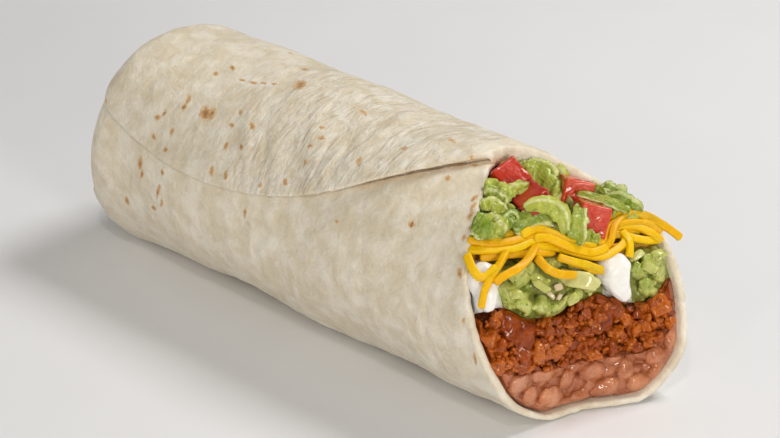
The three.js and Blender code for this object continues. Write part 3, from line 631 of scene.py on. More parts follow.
# Toast and painted shadow under the lapped edge and along the closed end's fold seams.
toast_and_shadow_under = dough.stored("under") * dough.step(blister, 0.2, 0.8, 0.55, 1.0)
toasted = dough.stored("toast")
ragged = (dough.noise(1.5, 5, 0.72, None, 1.0) - 0.5) * 2.3
spot = toasted + ragged * dough.step(toasted, 0.05, 0.4)
speck = dough.step(dough.noise(1.3, 2, 0.5), 0.72, 0.80) * dough.step(mottle, 0.48, 0.6)
colour = dough.paint(
    dough.mix(dough.step(mottle, 0.35, 0.68), (0.72, 0.63, 0.475), (0.83, 0.765, 0.645)),
    (dough.step(patchy, 0.48, 0.70) * (here * 0.35 + 0.35), (0.90, 0.865, 0.78)),
    (dough.step(patchy, 0.30, 0.46, 0.35, 0.0), (0.67, 0.565, 0.40)),
    # Painted highlight on the ridges of the slanting folds, and painted shade down in the creases,
    # both on the lapped layer.
    (dough.step(fold, 0.54, 0.75) * 0.45 * here, (0.90, 0.86, 0.76)),
    (dough.step(crease, 0.3, 0.5, 0.3, 0.0) * here, (0.62, 0.50, 0.33)),
    # The brown band: partly toast, partly painted shadow under the lapped edge and at the fold
    # seams.
    (dough.step(toast_and_shadow_under, 0.15, 1.2) * 0.85, (0.56, 0.31, 0.10)),
    (dough.step(spot, 0.20, 0.55) * 0.8, (0.62, 0.34, 0.10)),
    (dough.step(spot, 0.60, 1.15) * 0.85, (0.27, 0.085, 0.015)),
    (speck * 0.5, (0.62, 0.40, 0.17)))
dough.finish([tortilla], colour, dough.step(blister, 0.2, 0.8, 0.55, 0.75), (fold * here, 1.3),
             (crease * here, 0.5), (patchy, 0.36), (blister, 0.30), (grain, 0.06))

# %% [markdown]
# Layers of filling
# Inside the real roll each filling is a long soft body that reaches from the mouth back to the
# fold. A layer is made as a grid over its part of the mouth, pushed out by its own relief and
# drawn in at its borders, whose edge is then carried back along the roll and rounded off. The
# relief is what makes a layer look like beans, crumbs, mash or cream.

# %% A layer from its borders and its relief
def domes(y, z, lumps):
    """Relief of half-sunk ovals: (y, z, half length, half width, slant in degrees, height)."""
    total = np.zeros_like(y)
    for lump_y, lump_z, length, width, slant, stand in lumps:
        a = np.radians(slant)
        u = ((y - lump_y) * np.cos(a) + (z - lump_z) * np.sin(a)) / length
        v = ((z - lump_z) * np.cos(a) - (y - lump_y) * np.sin(a)) / width
        total = np.maximum(total, stand * np.sqrt(np.clip(1 - u * u - v * v, 0, 1)))
    return total


def staggered(draw, pitch, low, high, reach=31.0):
    """Places in staggered rows with a random shift, as (y, z) columns."""
    rows = []
    for row in range(int((high - low) / (pitch * 0.8)) + 1):
        y = np.arange(-reach + (row % 2) * pitch / 2, reach, pitch)
        z = np.full(len(y), low + row * pitch * 0.8)
        rows.append(np.stack([y, z], axis=-1))
    places = np.concatenate(rows)
    return places + draw.uniform(-0.28, 0.28, places.shape) * pitch


def random_ovals(draw, pitch, low, high, lengths, widths, slant, heights):
    """Ovals at staggered places, their sizes, slants and heights drawn from these ranges."""
    return [(y, z, draw.uniform(*lengths), draw.uniform(*widths), draw.uniform(-slant, slant),
             draw.uniform(*heights)) for y, z in staggered(draw, pitch, low, high)]


def border(knots, y):
    """A border between layers: its curve, with a small waver that both neighbours share."""
    if knots is FLOOR_LINE or knots is ROOF_LINE:
        return eased(knots, y)
    place = np.stack([y, 0 * y, 0 * y + 3.0 * knots[2][1]], axis=-1)
    return eased(knots, y) + 0.75 * rough(place, 3.4, 2, 81)


def layer_grid(lower, upper, sides, across, up):
    """Places (y, z) over a layer's part of the mouth, each row from border to border."""
    v = np.linspace(0, 1, up + 1)

    def height(y, share):
        return (border(lower, y) + GAP / 2) * (1 - share) + (border(upper, y) - GAP / 2) * share

    ends = []
    for side in sides:
        limit = np.clip(side - np.sign(side) * GAP / 2, -OPEN_RADIUS, OPEN_RADIUS)
        near = np.full(len(v), float(np.clip(0, min(sides), max(sides))))
        far = np.full(len(v), limit)
        free = section_share(far, height(far, v), GAP)[0] <= 1
        for _ in range(30):
            half = (near + far) / 2
            out = section_share(half, height(half, v), GAP)[0] > 1
            near, far = np.where(out, near, half), np.where(out, half, far)
        ends.append(np.where(free, limit, near))
    s = np.linspace(0, 1, across + 1)
    y = ends[0][:, None] * (1 - s) + ends[1][:, None] * s
    return y, height(y, v[:, None])


def layer(name, node, slot, lower, upper, relief, sides=(-40, 40), across=200, up=70, fall=1.3,
          marks=None):
    """A closed layer: the front with its relief, and its edge carried back along the roll."""
    y, z = layer_grid(lower, upper, sides, across, up)
    columns = np.linspace(0, 1, across + 1)[None]
    rows = np.linspace(0, 1, up + 1)[:, None]
    width, height = np.ptp(y, axis=1).max(), np.ptp(z, axis=0).max()
    from_border = np.minimum(np.minimum(columns, 1 - columns) * width,
                             np.minimum(rows, 1 - rows) * height)
    drawn_in = fall * (1 - smooth(from_border, 0, 1.6))
    share = section_share(y, z, 0.0)[0]
    depth = relief(y, z, on_face(y, z))
    out = depth * (1 - smooth(share, 0.93, 1.0)) - drawn_in
    front = on_face(y, z, out)
    index = np.arange(y.size).reshape(y.shape)
    quads = [np.stack([index[:-1, :-1], index[:-1, 1:], index[1:, 1:], index[1:, :-1]],
                      axis=-1).reshape(-1, 4)]
    edge = np.concatenate([index[0, :-1], index[:-1, -1], index[-1, :0:-1], index[:0:-1, 0]])
    edge_points = front.reshape(-1, 3)[edge]
    edge_y, edge_z = y.ravel()[edge], z.ravel()[edge]
    angle = np.degrees(np.arctan2((edge_z - CENTRE_HEIGHT) / FLATTENING, edge_y))
    tip = CLOSED_END_X + CLOSED_WALL + END_GAP
    end_x, end_share = rounded_end(tip, 5)
    room = body_radius(lip_x(angle), angle) - WALL - GAP
    rings = [edge_points - [step, 0, 0] for step in (1.0, 4.0)]
    for x, share in zip(end_x[::-1, 0], end_share[::-1, 0]):
        drawn = share * (body_radius(x, angle) - WALL - GAP) / room
        ring_z = axis_height(x) + (edge_z - CENTRE_HEIGHT) * drawn
        rings.append(np.stack([np.full(len(edge), x), edge_y * drawn,
                               np.maximum(ring_z, FLOOR_LINE[0][1] + GAP / 2)], axis=-1))
    points, count, ahead = [front.reshape(-1, 3)], y.size, edge
    for ring in rings:
        points.append(ring)
        now = count + np.arange(len(edge))
        quads.append(np.stack([ahead, now, np.roll(now, -1), np.roll(ahead, -1)], axis=-1))
        ahead, count = now, count + len(edge)
    points.append(ring.mean(axis=0)[None])
    caps = np.stack([ahead, np.full(len(ahead), count), np.roll(ahead, -1)], axis=-1)
    values = {"depth": depth, **{key: mark(y, z) for key, mark in (marks or {}).items()}}
    values = {key: np.concatenate([value.ravel(), np.zeros(count + 1 - y.size)])
              for key, value in values.items()}
    return piece(name, np.concatenate(points), np.concatenate(quads), caps, slot, [node], values)


# %% [markdown]
# Many small lumps in one mesh
# Crumbs and avocado chunks are soft lumps. Each is a ball pushed out by noise, sized, turned
# and put on the front of its layer, and one mesh holds all lumps of a kind. Every lump carries
# one number for its tone.

# %% Lumps and how they are turned
def turned(draw, count, lean):
    """Frames whose third axis is OUTWARD leant by a random vector, one matrix for each lump."""
    third = OUTWARD + lean * draw.normal(size=(count, 3))
    third /= np.linalg.norm(third, axis=1, keepdims=True)
    first = np.cross(draw.normal(size=(count, 3)), third)
    first /= np.linalg.norm(first, axis=1, keepdims=True)
    return np.stack([first, np.cross(third, first), third], axis=-1)


def balls(centres, sizes, frames, lumpy, fine, seed, rows=11, columns=18, power=1.0):
    """Lumps: directions to a power, * (1 + noise) * half sizes, turned by a frame, at a centre."""
    polar = np.linspace(0, np.pi, rows + 2)[1:-1, None]
    around = np.arange(columns) / columns * 2 * np.pi
    ring = np.stack(np.broadcast_arrays(np.sin(polar) * np.cos(around),
                                        np.sin(polar) * np.sin(around), np.cos(polar)), axis=-1)
    ways = np.concatenate([[[0, 0, 1.0]], ring.reshape(-1, 3), [[0, 0, -1.0]]])
    own = np.arange(len(centres))[:, None, None] * 7.7
    push = 1 + lumpy * lattice(ways * 1.3 + own, seed) + fine * rough(ways + own, 0.5, 2, seed + 3)
    shape = np.sign(ways) * np.abs(ways) ** power * push[..., None] * sizes[:, None, :]
    points = np.einsum("nij,nvj->nvi", frames, shape) + centres[:, None, :]
    return points, *ring_faces(rows, columns)


def lumps_piece(name, slot, *groups):
    """One piece from groups of (lumps, tones), with each lump's tone stored on its points."""
    parts, count = [], 0
    for (points, quads, caps), tone in groups:
        flat, quads, caps = repeated(points, quads, caps)
        parts.append((flat, quads + count, caps + count, np.repeat(tone, points.shape[1])))
        count += len(flat)
    *mesh, tones = (np.concatenate(part) for part in zip(*parts))
    return piece(name, *mesh, slot, values={"tone": tones})


# %% [markdown]
# Refried beans
# The real layer is a moist mash with whole soft beans pressed into it, each an oval of about
# 9 by 6 mm under a thin glossy skin. The relief is a dense set of ovals with creases between
# them, made uneven by noise.

# %% Beans
# Ovals: (y, z, half length, half width, slant, height).
WHOLE_BEANS = [
    (-20.8, 16.8, 4.4, 3.5, 20, 3.0), (-12.0, 17.0, 4.8, 3.0, -10, 2.6),
    (-9.2, 9.0, 4.8, 3.6, -20, 3.2), (-3.6, 12.6, 3.4, 2.8, 50, 2.4),
    (3.7, 12.9, 4.0, 2.9, 10, 3.0), (7.3, 7.6, 4.2, 2.8, 15, 2.8),
    (12.6, 11.7, 3.4, 2.8, 60, 2.6), (20.7, 13.9, 3.2, 2.8, 40, 2.6),
    (0.2, 6.2, 3.4, 2.4, 0, 2.2), (15.4, 7.7, 3.4, 2.6, 20, 2.4),
    (25.9, 17.0, 2.6, 3.4, 10, 2.2), (20.9, 9.3, 2.8, 2.6, 50, 2.0),
    (-16.4, 12.2, 3.2, 2.8, -40, 2.4), (-25.0, 20.6, 3.0, 2.4, 30, 2.0),
    (-4.6, 5.4, 3.4, 2.0, 0, 1.8), (29.0, 22.0, 2.0, 3.0, 0, 1.8),
    (9.6, 15.4, 3.0, 1.8, 10, 2.0), (-13.0, 7.0, 2.8, 2.2, 30, 1.8),
    (16.6, 15.6, 2.6, 1.9, 20, 2.2), (-0.8, 15.0, 2.4, 1.6, 0, 1.8)]
draw = np.random.default_rng(11)
mash_lumps = random_ovals(draw, 3.2, 4.0, 27, (1.6, 2.8), (1.2, 2.0), 60, (0.5, 1.7))


def beans_relief(y, z, p):
    shaken, swayed = 0.45 * rough(p, 3.6, 2, 90), 0.45 * rough(p, 3.6, 2, 95)
    whole = domes(y + shaken, z + swayed, WHOLE_BEANS)
    broken = domes(y + 1.5 * shaken, z - 1.5 * swayed, mash_lumps)
    grain = 0.25 * rough(p, 2.6, 3, 12) + 0.05 * rough(p, 0.8, 2, 15)
    return np.maximum(whole, broken) + grain - 0.5


beans = layer("bean_mash", "refried_beans", "refried_beans", FLOOR_LINE, BEANS_TOP,
              beans_relief, across=280, up=100)

# %% Beans material
bean_skin = Look("bean_mash", Subsurface_Weight=0.08, Subsurface_Radius=(1.0, 0.35, 0.2),
                 Subsurface_Scale=0.0012, Coat_Weight=0.9, Coat_Roughness=0.05,
                 Specular_IOR_Level=0.2)
patch = bean_skin.noise(6, 3, 0.6)
mash = bean_skin.noise(1.8, 4, 0.6)
stain = bean_skin.step(bean_skin.noise(8, 3, 0.6), 0.52, 0.66)
depth = bean_skin.stored("depth")
flesh = bean_skin.paint(
    bean_skin.mix(bean_skin.step(patch, 0.35, 0.68), (0.42, 0.12, 0.04), (0.64, 0.245, 0.11)),
    # Painted highlight on the raised parts of the mash, and painted shade in its dips.
    (bean_skin.step(mash, 0.5, 0.78) * 0.55, (0.72, 0.36, 0.22)),
    (bean_skin.step(mash, 0.22, 0.42, 0.6, 0.0), (0.26, 0.06, 0.022)),
    (stain * 0.6, (0.52, 0.14, 0.025)),
    # Painted shade in the low places between the beans, and a painted highlight on the tops of the
    # raised whole beans.
    (bean_skin.step(depth, 0.1, 1.7, 0.5, 0.0), (0.28, 0.06, 0.018)),
    (bean_skin.step(depth, 1.8, 3.2, 0.0, 0.25), (0.80, 0.42, 0.27)))
bean_skin.finish([beans], flesh, bean_skin.step(patch, 0.3, 0.7, 0.20, 0.38),
                 (mash, 0.50), (bean_skin.noise(0.9, 2), 0.14))

# %% [markdown]
# Seasoned crumbles
# This layer is moist crumbs of 2 to 6 mm that cling together in a thick red sauce, with gaps
# between the clumps that the colour darkens with painted shade. Its body is a deep granular
# relief, and knobbly crumbs sit half sunk in it. Where sauce has pooled, the relief is smooth
# and stands a little over the crumbs.

# %% Crumble bed and its pools of sauce
POOLS = [(-19.4, 33.6, 5.8, 6.6), (-18.6, 28.2, 3.8, 3.4), (8.6, 26.6, 3.0, 4.4),
         (8.4, 32.2, 3.0, 2.4), (28.6, 30.8, 3.4, 5.0), (27.6, 25.6, 2.0, 2.4),
         (-8.0, 31.0, 2.4, 1.6), (-1.6, 21.8, 1.8, 1.4), (18.0, 25.4, 1.7, 1.5)]
crumb_bed = random_ovals(draw, 3.3, 14, 37, (1.5, 2.7), (1.2, 2.1), 90, (0.5, 2.9))
crumb_grains = random_ovals(draw, 1.7, 14, 37, (0.6, 1.1), (0.5, 0.9), 90, (0.2, 1.0))


def sauced(y, z):
    """Share of sauce: 1 in a pool, 0 outside its wavering edge."""
    p = on_face(y, z)
    far = np.min([np.hypot((y - a) / w, (z - b) / t) for a, b, w, t in POOLS], axis=0)
    return 1 - smooth(far + 0.20 * rough(p, 3.0, 3, 70), 0.72, 1.12)


def crumble_relief(y, z, p):
    shaken, swayed = 0.8 * rough(p, 2.0, 3, 33), 0.8 * rough(p, 2.0, 3, 37)
    clumps = domes(y + shaken, z + swayed, crumb_bed)
    grains = domes(y + 0.6 * shaken, z - 0.6 * swayed, crumb_grains)
    rubble = 1.25 * clumps + 0.9 * grains + 0.25 * rough(p, 0.9, 2, 34) - 1.3
    share = sauced(y, z)
    pool = 1.8 * np.sqrt(share) + 0.24 * rough(p, 5.0, 2, 71)
    return rubble * (1 - share) + pool * share + 0.14 * clumps * share


crumble_bed = layer("crumble_bed", "seasoned_crumbles", "seasoned_crumbles", BEANS_TOP,
                    CRUMBLES_TOP, crumble_relief, across=330, up=90, marks={"sauce": sauced})

# %% Crumbs
def within(places, lower, upper, sides=(-40, 40), edge=0.95, low_room=0.5, top_room=0.8):
    """The places that lie in a layer, clear of its borders."""
    y, z = places[:, 0], places[:, 1]
    keep = (z > eased(lower, y) + low_room) & (z < eased(upper, y) - top_room)
    keep &= (section_share(y, z, 0.0)[0] < edge) & (y > sides[0]) & (y < sides[1])
    return places[keep]


def crumbs(pitch, half, sunk, seed, rows, columns):
    """Knobbly crumbs half sunk in the bed, clear of the sauce: bodies and tones."""
    draw = np.random.default_rng(seed)
    places = within(staggered(draw, pitch, 14, 38), BEANS_TOP, CRUMBLES_TOP,
                    low_room=-0.2, top_room=0.5 + half * 0.4)
    places = places[sauced(places[:, 0], places[:, 1]) < 0.45]
    y, z = places.T
    count = len(places)
    sizes = half * draw.uniform(0.7, 1.3, (count, 1)) * draw.uniform(0.7, 1.3, (count, 3))
    stand = crumble_relief(y, z, on_face(y, z)) * 0.6 + sunk + draw.uniform(-0.4, 0.4, count)
    return (balls(on_face(y, z, stand), sizes, turned(draw, count, 1.6), 0.50, 0.27, seed,
                  rows, columns, 0.9), draw.uniform(0, 1, count))


large = crumbs(4.7, 1.9, 0.25, 61, 17, 26)
small = crumbs(2.4, 0.9, 0.5, 62, 7, 10)
crumb_piece = lumps_piece("crumbs", "seasoned_crumbles", large, small)

# %% Crumble material
def crumble_look(body, name, tone, sauce):
    """Moist browned crumbs, darker in their pits by painted shade and lighter on their edges by
    painted light, and red sauce.
    """
    look = Look(name, Subsurface_Weight=0.05, Subsurface_Radius=(0.8, 0.25, 0.1),
                Subsurface_Scale=0.001, Coat_Weight=0.7, Coat_Roughness=0.04,
                Specular_IOR_Level=0.08)
    pit = look.noise(1.0, 4, 0.65)
    patch = look.noise(5, 2)
    colour = look.paint(
        look.mix(look.step(tone(look), 0.2, 0.8), (0.32, 0.056, 0.003), (0.55, 0.130, 0.009)),
        (look.step(patch, 0.5, 0.75) * 0.5, (0.44, 0.068, 0.005)),
        # Painted light on the crumbs' raised edges, and painted shade down in their pits.
        (look.step(pit, 0.54, 0.80) * 0.5, (0.74, 0.23, 0.032)),
        (look.step(pit, 0.30, 0.47, 0.8, 0.0), (0.07, 0.010, 0.001)))
    rough_skin = look.step(pit, 0.3, 0.7, 0.24, 0.45)
    wet = look.noise(0.9, 2)
    if sauce:
        # Painted shade where the bed's relief lies low, between the clumps.
        hollow = look.step(look.stored("depth"), -0.7, 1.1, 0.85, 0.0)
        share = look.stored("sauce")
        thick = look.noise(3.2, 3)
        oil = look.mix(look.step(thick, 0.32, 0.66), (0.17, 0.021, 0.000), (0.33, 0.056, 0.001))
        speck = look.step(look.noise(0.7, 2), 0.72, 0.8) * 0.7
        oil = look.mix(speck, oil, (0.04, 0.008, 0.003))
        colour = look.paint(colour, (hollow, (0.05, 0.008, 0.001)),
                            (look.step(share, 0.25, 0.7), oil))
        rough_skin = rough_skin - look.step(share, 0.3, 0.8, 0.0, 0.14)
        calm = 1.0 - look.step(share, 0.2, 0.8) * 0.85
        pit, wet = pit * calm, wet * calm
    look.finish([body], colour, rough_skin, (pit, 0.45), (wet, 0.22))


crumble_look(crumble_bed, "crumble_bed", lambda k: k.noise(2.4), True)
crumble_look(crumb_piece, "crumb", lambda k: k.stored("tone"), False)

# %% [markdown]
# Sour cream
# Two tongues of sour cream show, one at the left wall and one near the middle. The real cream
# is smooth and dense, with soft folds and rounded edges, so its relief is a few broad swells
# and almost no roughness.

# %% Sour cream
def swells(y, z, lumps):
    """Soft hills: height * exp(-distance squared), for (y, z, half width, half height, height)."""
    return sum(h * np.exp(-(((y - a) / w) ** 2 + ((z - b) / t) ** 2)) for a, b, w, t, h in lumps)


def cream_side_relief(y, z, p):
    return swells(y, z, [(-27, 42, 5, 4.6, 3.6), (-27.6, 38.6, 3.2, 2.4, 2.2),
                         (-23.4, 46.4, 3.4, 2.4, 2.0)]) + 0.25 * rough(p, 5, 2, 3) - 0.2


def cream_middle_relief(y, z, p):
    return swells(y, z, [(13.6, 38.6, 3.6, 3.2, 2.0), (14.2, 34.0, 3.0, 3.6, 1.6)]) - 0.6


layer("cream_side", "sour_cream_side", "sour_cream", CRUMBLES_TOP, CREAM_TOP,
      cream_side_relief, (-40, -22), 60, 60, 1.6)
layer("cream_middle", "sour_cream_middle", "sour_cream", CRUMBLES_TOP, CREAM_TOP,
      cream_middle_relief, (9, 18), 50, 60, 1.6)

cream_look = Look("sour_cream", Subsurface_Weight=0.35, Subsurface_Radius=(1.6, 1.4, 1.2),
                  Subsurface_Scale=0.002, Coat_Weight=0.2, Coat_Roughness=0.08)
fold = cream_look.noise(4, 3)
milk = cream_look.mix(cream_look.step(fold, 0.3, 0.7), (0.90, 0.88, 0.83), (0.95, 0.94, 0.91))
cream_look.finish([made["cream_side"], made["cream_middle"]], milk,
                  cream_look.step(fold, 0.3, 0.7, 0.16, 0.3),
                  (fold, 0.35), (cream_look.noise(1.2, 2), 0.06))

# %% [markdown]
# Guacamole
# Mashed avocado is soft and chunky: rounded lumps of 2 to 8 mm, paler pieces of avocado and
# onion, and flecks of dark green herb. Its layers are knobbly grids, with separate chunks
# pressed into them.

# %% Guacamole
GUAC_FOLDS = [
    (-19.3, 41.0, 3.4, 2.8, 30, 3.2), (-20.6, 38.2, 2.6, 2.6, 0, 2.4),
    (-15.2, 43.6, 3.8, 2.4, 40, 3.4), (-16.6, 37.8, 3.2, 2.6, -20, 3.4),
    (-12.5, 45.7, 2.8, 2.0, 20, 2.6), (-11.7, 35.6, 3.0, 2.6, -30, 4.0),
    (-7.3, 34.2, 3.8, 2.4, 10, 4.2), (-2.4, 34.8, 3.4, 2.2, 20, 3.8),
    (-10.8, 41.6, 3.0, 2.2, -30, 2.8), (-9.6, 32.8, 2.2, 1.6, 0, 3.2),
    (-4.4, 44.4, 4.2, 2.2, 10, 1.6), (2.6, 42.4, 3.6, 2.0, -10, 1.6),
    (4.8, 36.0, 2.6, 2.2, 30, 2.6), (26.2, 38.0, 4.0, 3.4, 20, 3.6),
    (21.4, 35.6, 2.8, 2.6, -20, 2.8), (22.2, 31.6, 2.8, 2.4, 20, 3.2),
    (24.4, 29.6, 2.2, 1.8, 0, 2.6), (30.0, 37.6, 2.4, 2.6, 0, 2.2),
    (27.2, 34.4, 2.6, 2.4, 40, 2.8), (20.2, 38.6, 2.2, 2.0, 0, 1.6),
    (25.4, 41.2, 3.0, 1.8, 0, 1.8)]
guac_small = random_ovals(np.random.default_rng(29), 2.8, 28, 50, (0.9, 1.9), (0.7, 1.5), 80,
                          (0.3, 1.3))


def guacamole_relief(y, z, p):
    shaken, swayed = 0.9 * rough(p, 3.2, 2, 44), 0.9 * rough(p, 3.2, 2, 48)
    folds = domes(y + shaken, z + swayed, GUAC_FOLDS)
    bits = domes(y - shaken, z + swayed, guac_small)
    hollow = 2.6 * np.exp(-((y + 13.9) / 1.5) ** 2 - ((z - 38.4) / 1.2) ** 2)
    return folds + 0.55 * bits + 0.30 * rough(p, 1.8, 3, 21) - 0.5 - hollow


layer("guacamole_middle_mash", "guacamole_middle", "guacamole", CRUMBLES_TOP, CREAM_TOP,
      guacamole_relief, (-22, 9), 180, 100, 1.2)
layer("guacamole_far_mash", "guacamole_far", "guacamole", CRUMBLES_TOP, CREAM_TOP,
      guacamole_relief, (18, 40), 100, 90, 1.2)

# %% Avocado chunks
# Placed ones: [y, z, stand, half sizes across, up and out, slant, tone], tone 2 being onion.
CHUNKS = [(1.6, 39.0, 2.8, 4.9, 2.3, 2.0, -8, 1.2), (-5.6, 39.2, 2.0, 1.2, 0.8, 0.7, 20, 2.0),
          (-8.5, 37.9, 2.2, 1.3, 0.6, 0.6, -40, 2.0), (-6.2, 37.0, 2.6, 0.9, 0.6, 0.7, 60, 2.0),
          (-15.6, 44.8, 3.0, 2.6, 1.3, 1.2, 50, 0.9), (-10.4, 40.6, 3.0, 2.4, 1.1, 1.0, -40, 0.8),
          (-18.0, 40.2, 3.4, 1.8, 1.2, 1.1, 10, 0.7), (22.4, 32.8, 3.6, 1.5, 1.1, 1.0, 30, 0.0),
          (20.6, 37.4, 2.6, 1.6, 1.2, 1.0, 70, 0.1), (28.4, 38.8, 3.0, 2.0, 1.4, 1.2, 20, 0.9),
          (24.6, 36.2, 3.4, 1.8, 1.3, 1.1, -30, 0.7), (-2.0, 35.2, 3.8, 1.7, 1.1, 1.0, 30, 0.6),
          (21.6, 40.0, 2.2, 2.2, 1.0, 0.9, 30, 1.1)]


def placed_chunks(seed):
    """The placed chunks: frames turned by their slant in the plane of the mouth."""
    y, z, stand, across, up, out, slant, tone = np.array(CHUNKS).T
    a = np.radians(slant)[:, None]
    first = ACROSS * np.cos(a) + UPWARD * np.sin(a)
    second = UPWARD * np.cos(a) - ACROSS * np.sin(a)
    frames = np.stack([first, second, np.broadcast_to(OUTWARD, first.shape)], axis=-1)
    sizes = np.stack([across, up, out], axis=-1)
    return balls(on_face(y, z, stand), sizes, frames, 0.34, 0.12, seed, 15, 24, 0.62), tone


def small_chunks(pitch, half, sides, seed):
    """Small bits in the mash: each stands off as far as the mash does."""
    draw = np.random.default_rng(seed)
    places = within(staggered(draw, pitch, 28, 48), CRUMBLES_TOP, CREAM_TOP, sides, 0.93, 0.8, 1.4)
    y, z = places.T
    stand = guacamole_relief(y, z, on_face(y, z)) - 0.3 * half
    count = len(places)
    sizes = half * draw.uniform(0.6, 1.25, (count, 1)) * draw.uniform(0.6, 1.4, (count, 3))
    return (balls(on_face(y, z, stand), sizes, turned(draw, count, 1.5), 0.3, 0.12, seed, 7, 10,
                  0.85), draw.uniform(0, 1, count))


guac_chunks = lumps_piece("avocado_chunks", "guacamole", placed_chunks(70),
                          small_chunks(4.4, 0.85, (-21.5, 8), 73),
                          small_chunks(4.4, 0.85, (19, 31), 74))

# %% Guacamole material
def avocado_look(bodies, name, tone, paler):
    """Mashed avocado: yellow green, pale creamy bits, dark herb flecks, and painted shade in the
    mash's hollows.
    """
    look = Look(name, Subsurface_Weight=0.15, Subsurface_Radius=(0.8, 1.0, 0.3),
                Subsurface_Scale=0.0014, Coat_Weight=0.6, Coat_Roughness=0.05,
                Specular_IOR_Level=0.3)
    mash = look.noise(2.6, 4, 0.6)
    patch = look.noise(6, 2)
    kind = tone(look)
    fleck = look.step(look.noise(1.4, 2, 0.5), 0.68, 0.73)
    colour = look.paint(
        look.mix(look.step(kind, 0.2, 0.8), (0.33, 0.40, 0.055), (0.54, 0.56, 0.14)),
        (look.step(mash, 0.46, 0.70) * paler, (0.70, 0.69, 0.28)),
        (look.step(patch, 0.52, 0.72) * 0.4, (0.58, 0.54, 0.18)),
        (look.step(mash, 0.26, 0.44, 0.7, 0.0), (0.16, 0.22, 0.02)),
        (fleck * 0.85, (0.045, 0.12, 0.012)))
    if name == "guacamole_mash":
        # Painted shade where the mash's relief lies low.
        hollow = look.step(look.stored("depth"), -0.4, 1.6, 0.7, 0.0)
        colour = look.mix(hollow, colour, (0.15, 0.17, 0.02))
    colour = look.paint(colour, (look.step(kind, 1.0, 1.2) * 0.8, (0.70, 0.66, 0.27)),
                        (look.step(kind, 1.5, 1.8) * 0.9, (0.76, 0.60, 0.42)))
    look.finish(bodies, colour, look.step(mash, 0.3, 0.7, 0.2, 0.4),
                (mash, 0.35), (look.noise(0.6, 2), 0.06))


avocado_look([made["guacamole_middle_mash"], made["guacamole_far_mash"]], "guacamole_mash",
             lambda k: k.noise(3.4), 0.55)
avocado_look([guac_chunks], "avocado_chunk", lambda k: k.stored("tone"), 0.5)

# %% [markdown]
# Behind the cheese and the lettuce
# Only a core of each heap is a solid layer. It is set back, and it is coloured with darker
# copies of cheese and lettuce as painted shade, for the inside of a heap lies in shade; the real
# shreds and strips lie in front of it.

# %% Cores of the two heaps
def core_relief(y, z, p):
    return 0.8 * rough(p, 3.0, 2, 61) - 1.6


layer("cheese_core", "shredded_cheese", "shredded_cheese", CREAM_TOP, CHEESE_TOP,
      core_relief, across=120, up=24, fall=0.5)
layer("lettuce_core", "shredded_lettuce", "shredded_lettuce", CHEESE_TOP, ROOF_LINE,
      lambda y, z, p: 0.9 * rough(p, 3.4, 2, 62) - 2.2, across=120, up=50, fall=0.5)

# %% Core materials
def core_look(name, dark, light, size_mm):
    """Depth of a heap: mottled, and painted darker as shade, for it lies mostly in shade between
    what is in front.
    """
    look = Look(name)
    patch = look.noise(size_mm, 3)
    look.finish([made[name]], look.mix(look.step(patch, 0.35, 0.7), dark, light),
                look.step(patch, 0.3, 0.7, 0.4, 0.6), (patch, 0.6))


# Darker copies of the cheese and lettuce colours: painted shade.
core_look("cheese_core", (0.42, 0.17, 0.008), (0.74, 0.38, 0.02), 2.5)
core_look("lettuce_core", (0.035, 0.07, 0.006), (0.16, 0.26, 0.02), 3.0)

# %% [markdown]
# Bars and ribbons along paths
# Cheese shreds and lettuce strips are both a cross-section carried along a path. A path is a
# few places on the filling's front, each (y, z, how far it stands off), joined by cubics.

# %% Carrying a section along paths
def path_frames(knots, steps, twist=0.0):
    """Points along a path and its side and top directions, turned about it by twist degrees."""
    knots = np.array(knots, float)
    t = np.linspace(0, 1, len(knots))
    s = np.linspace(0, 1, steps)
    y, z, out = (eased(list(zip(t, column)), s) for column in knots.T)
    line = on_face(y, z, out)
    along = np.gradient(line, axis=0)
    along /= np.linalg.norm(along, axis=1, keepdims=True)
    side = np.cross(OUTWARD, along)
    side /= np.linalg.norm(side, axis=1, keepdims=True)
    top = np.cross(along, side)
    a = np.radians(np.asarray(twist, float))[..., None]
    return line, side * np.cos(a) + top * np.sin(a), top * np.cos(a) - side * np.sin(a)


def swept_body(line, side, top, across, up):
    """A closed body: each row's section is line + side * across + top * up, ends at a pole."""
    rings = line[:, None] + side[:, None] * across[..., None] + top[:, None] * up[..., None]
    ends = rings[[0, -1]].mean(axis=1)
    return np.concatenate([ends[:1], rings.reshape(-1, 3), ends[1:]])


# %% [markdown]
# Tongues of sour cream
# Where the cream was spooned on, it runs a little way down over the layer below: a fat smooth
# tongue, widest near its top and rounded at its tip, partly covered by the cheese.

# %% Cream tongues
TONGUES = [
    ([(-22.2, 47.8, 0.8), (-24.6, 45.0, 2.0), (-25.8, 41.6, 2.6), (-26.2, 37.6, 2.6)],
     [(0, 3.0), (0.4, 4.0), (0.75, 3.4), (1, 2.2)]),
    ([(13.0, 41.6, 1.6), (12.9, 38.2, 2.9), (14.0, 34.2, 3.5), (15.9, 29.8, 3.2)],
     [(0, 4.4), (0.3, 4.7), (0.6, 3.3), (1, 2.0)])]


def tongue(knots, widths, seed, steps=60, columns=48):
    """An oval section along a path: half width from knots, drawn in to a round tip at the ends."""
    s = np.linspace(0, 1, steps)
    around = np.arange(columns) / columns * 2 * np.pi
    line, side, top = path_frames(knots, steps)
    half = eased(widths, s) * np.sqrt(1 - np.abs(2 * s - 1) ** 3.5 * 0.98)
    place = np.stack(np.broadcast_arrays(s[:, None] * 3, np.cos(around), np.sin(around)), axis=-1)
    half = half[:, None] * (1 + 0.20 * rough(place, 1.1, 3, seed) + 0.02 * rough(place, 0.4, 1, 9))
    return swept_body(line, side, top, half * np.cos(around), 0.66 * half * np.sin(around))


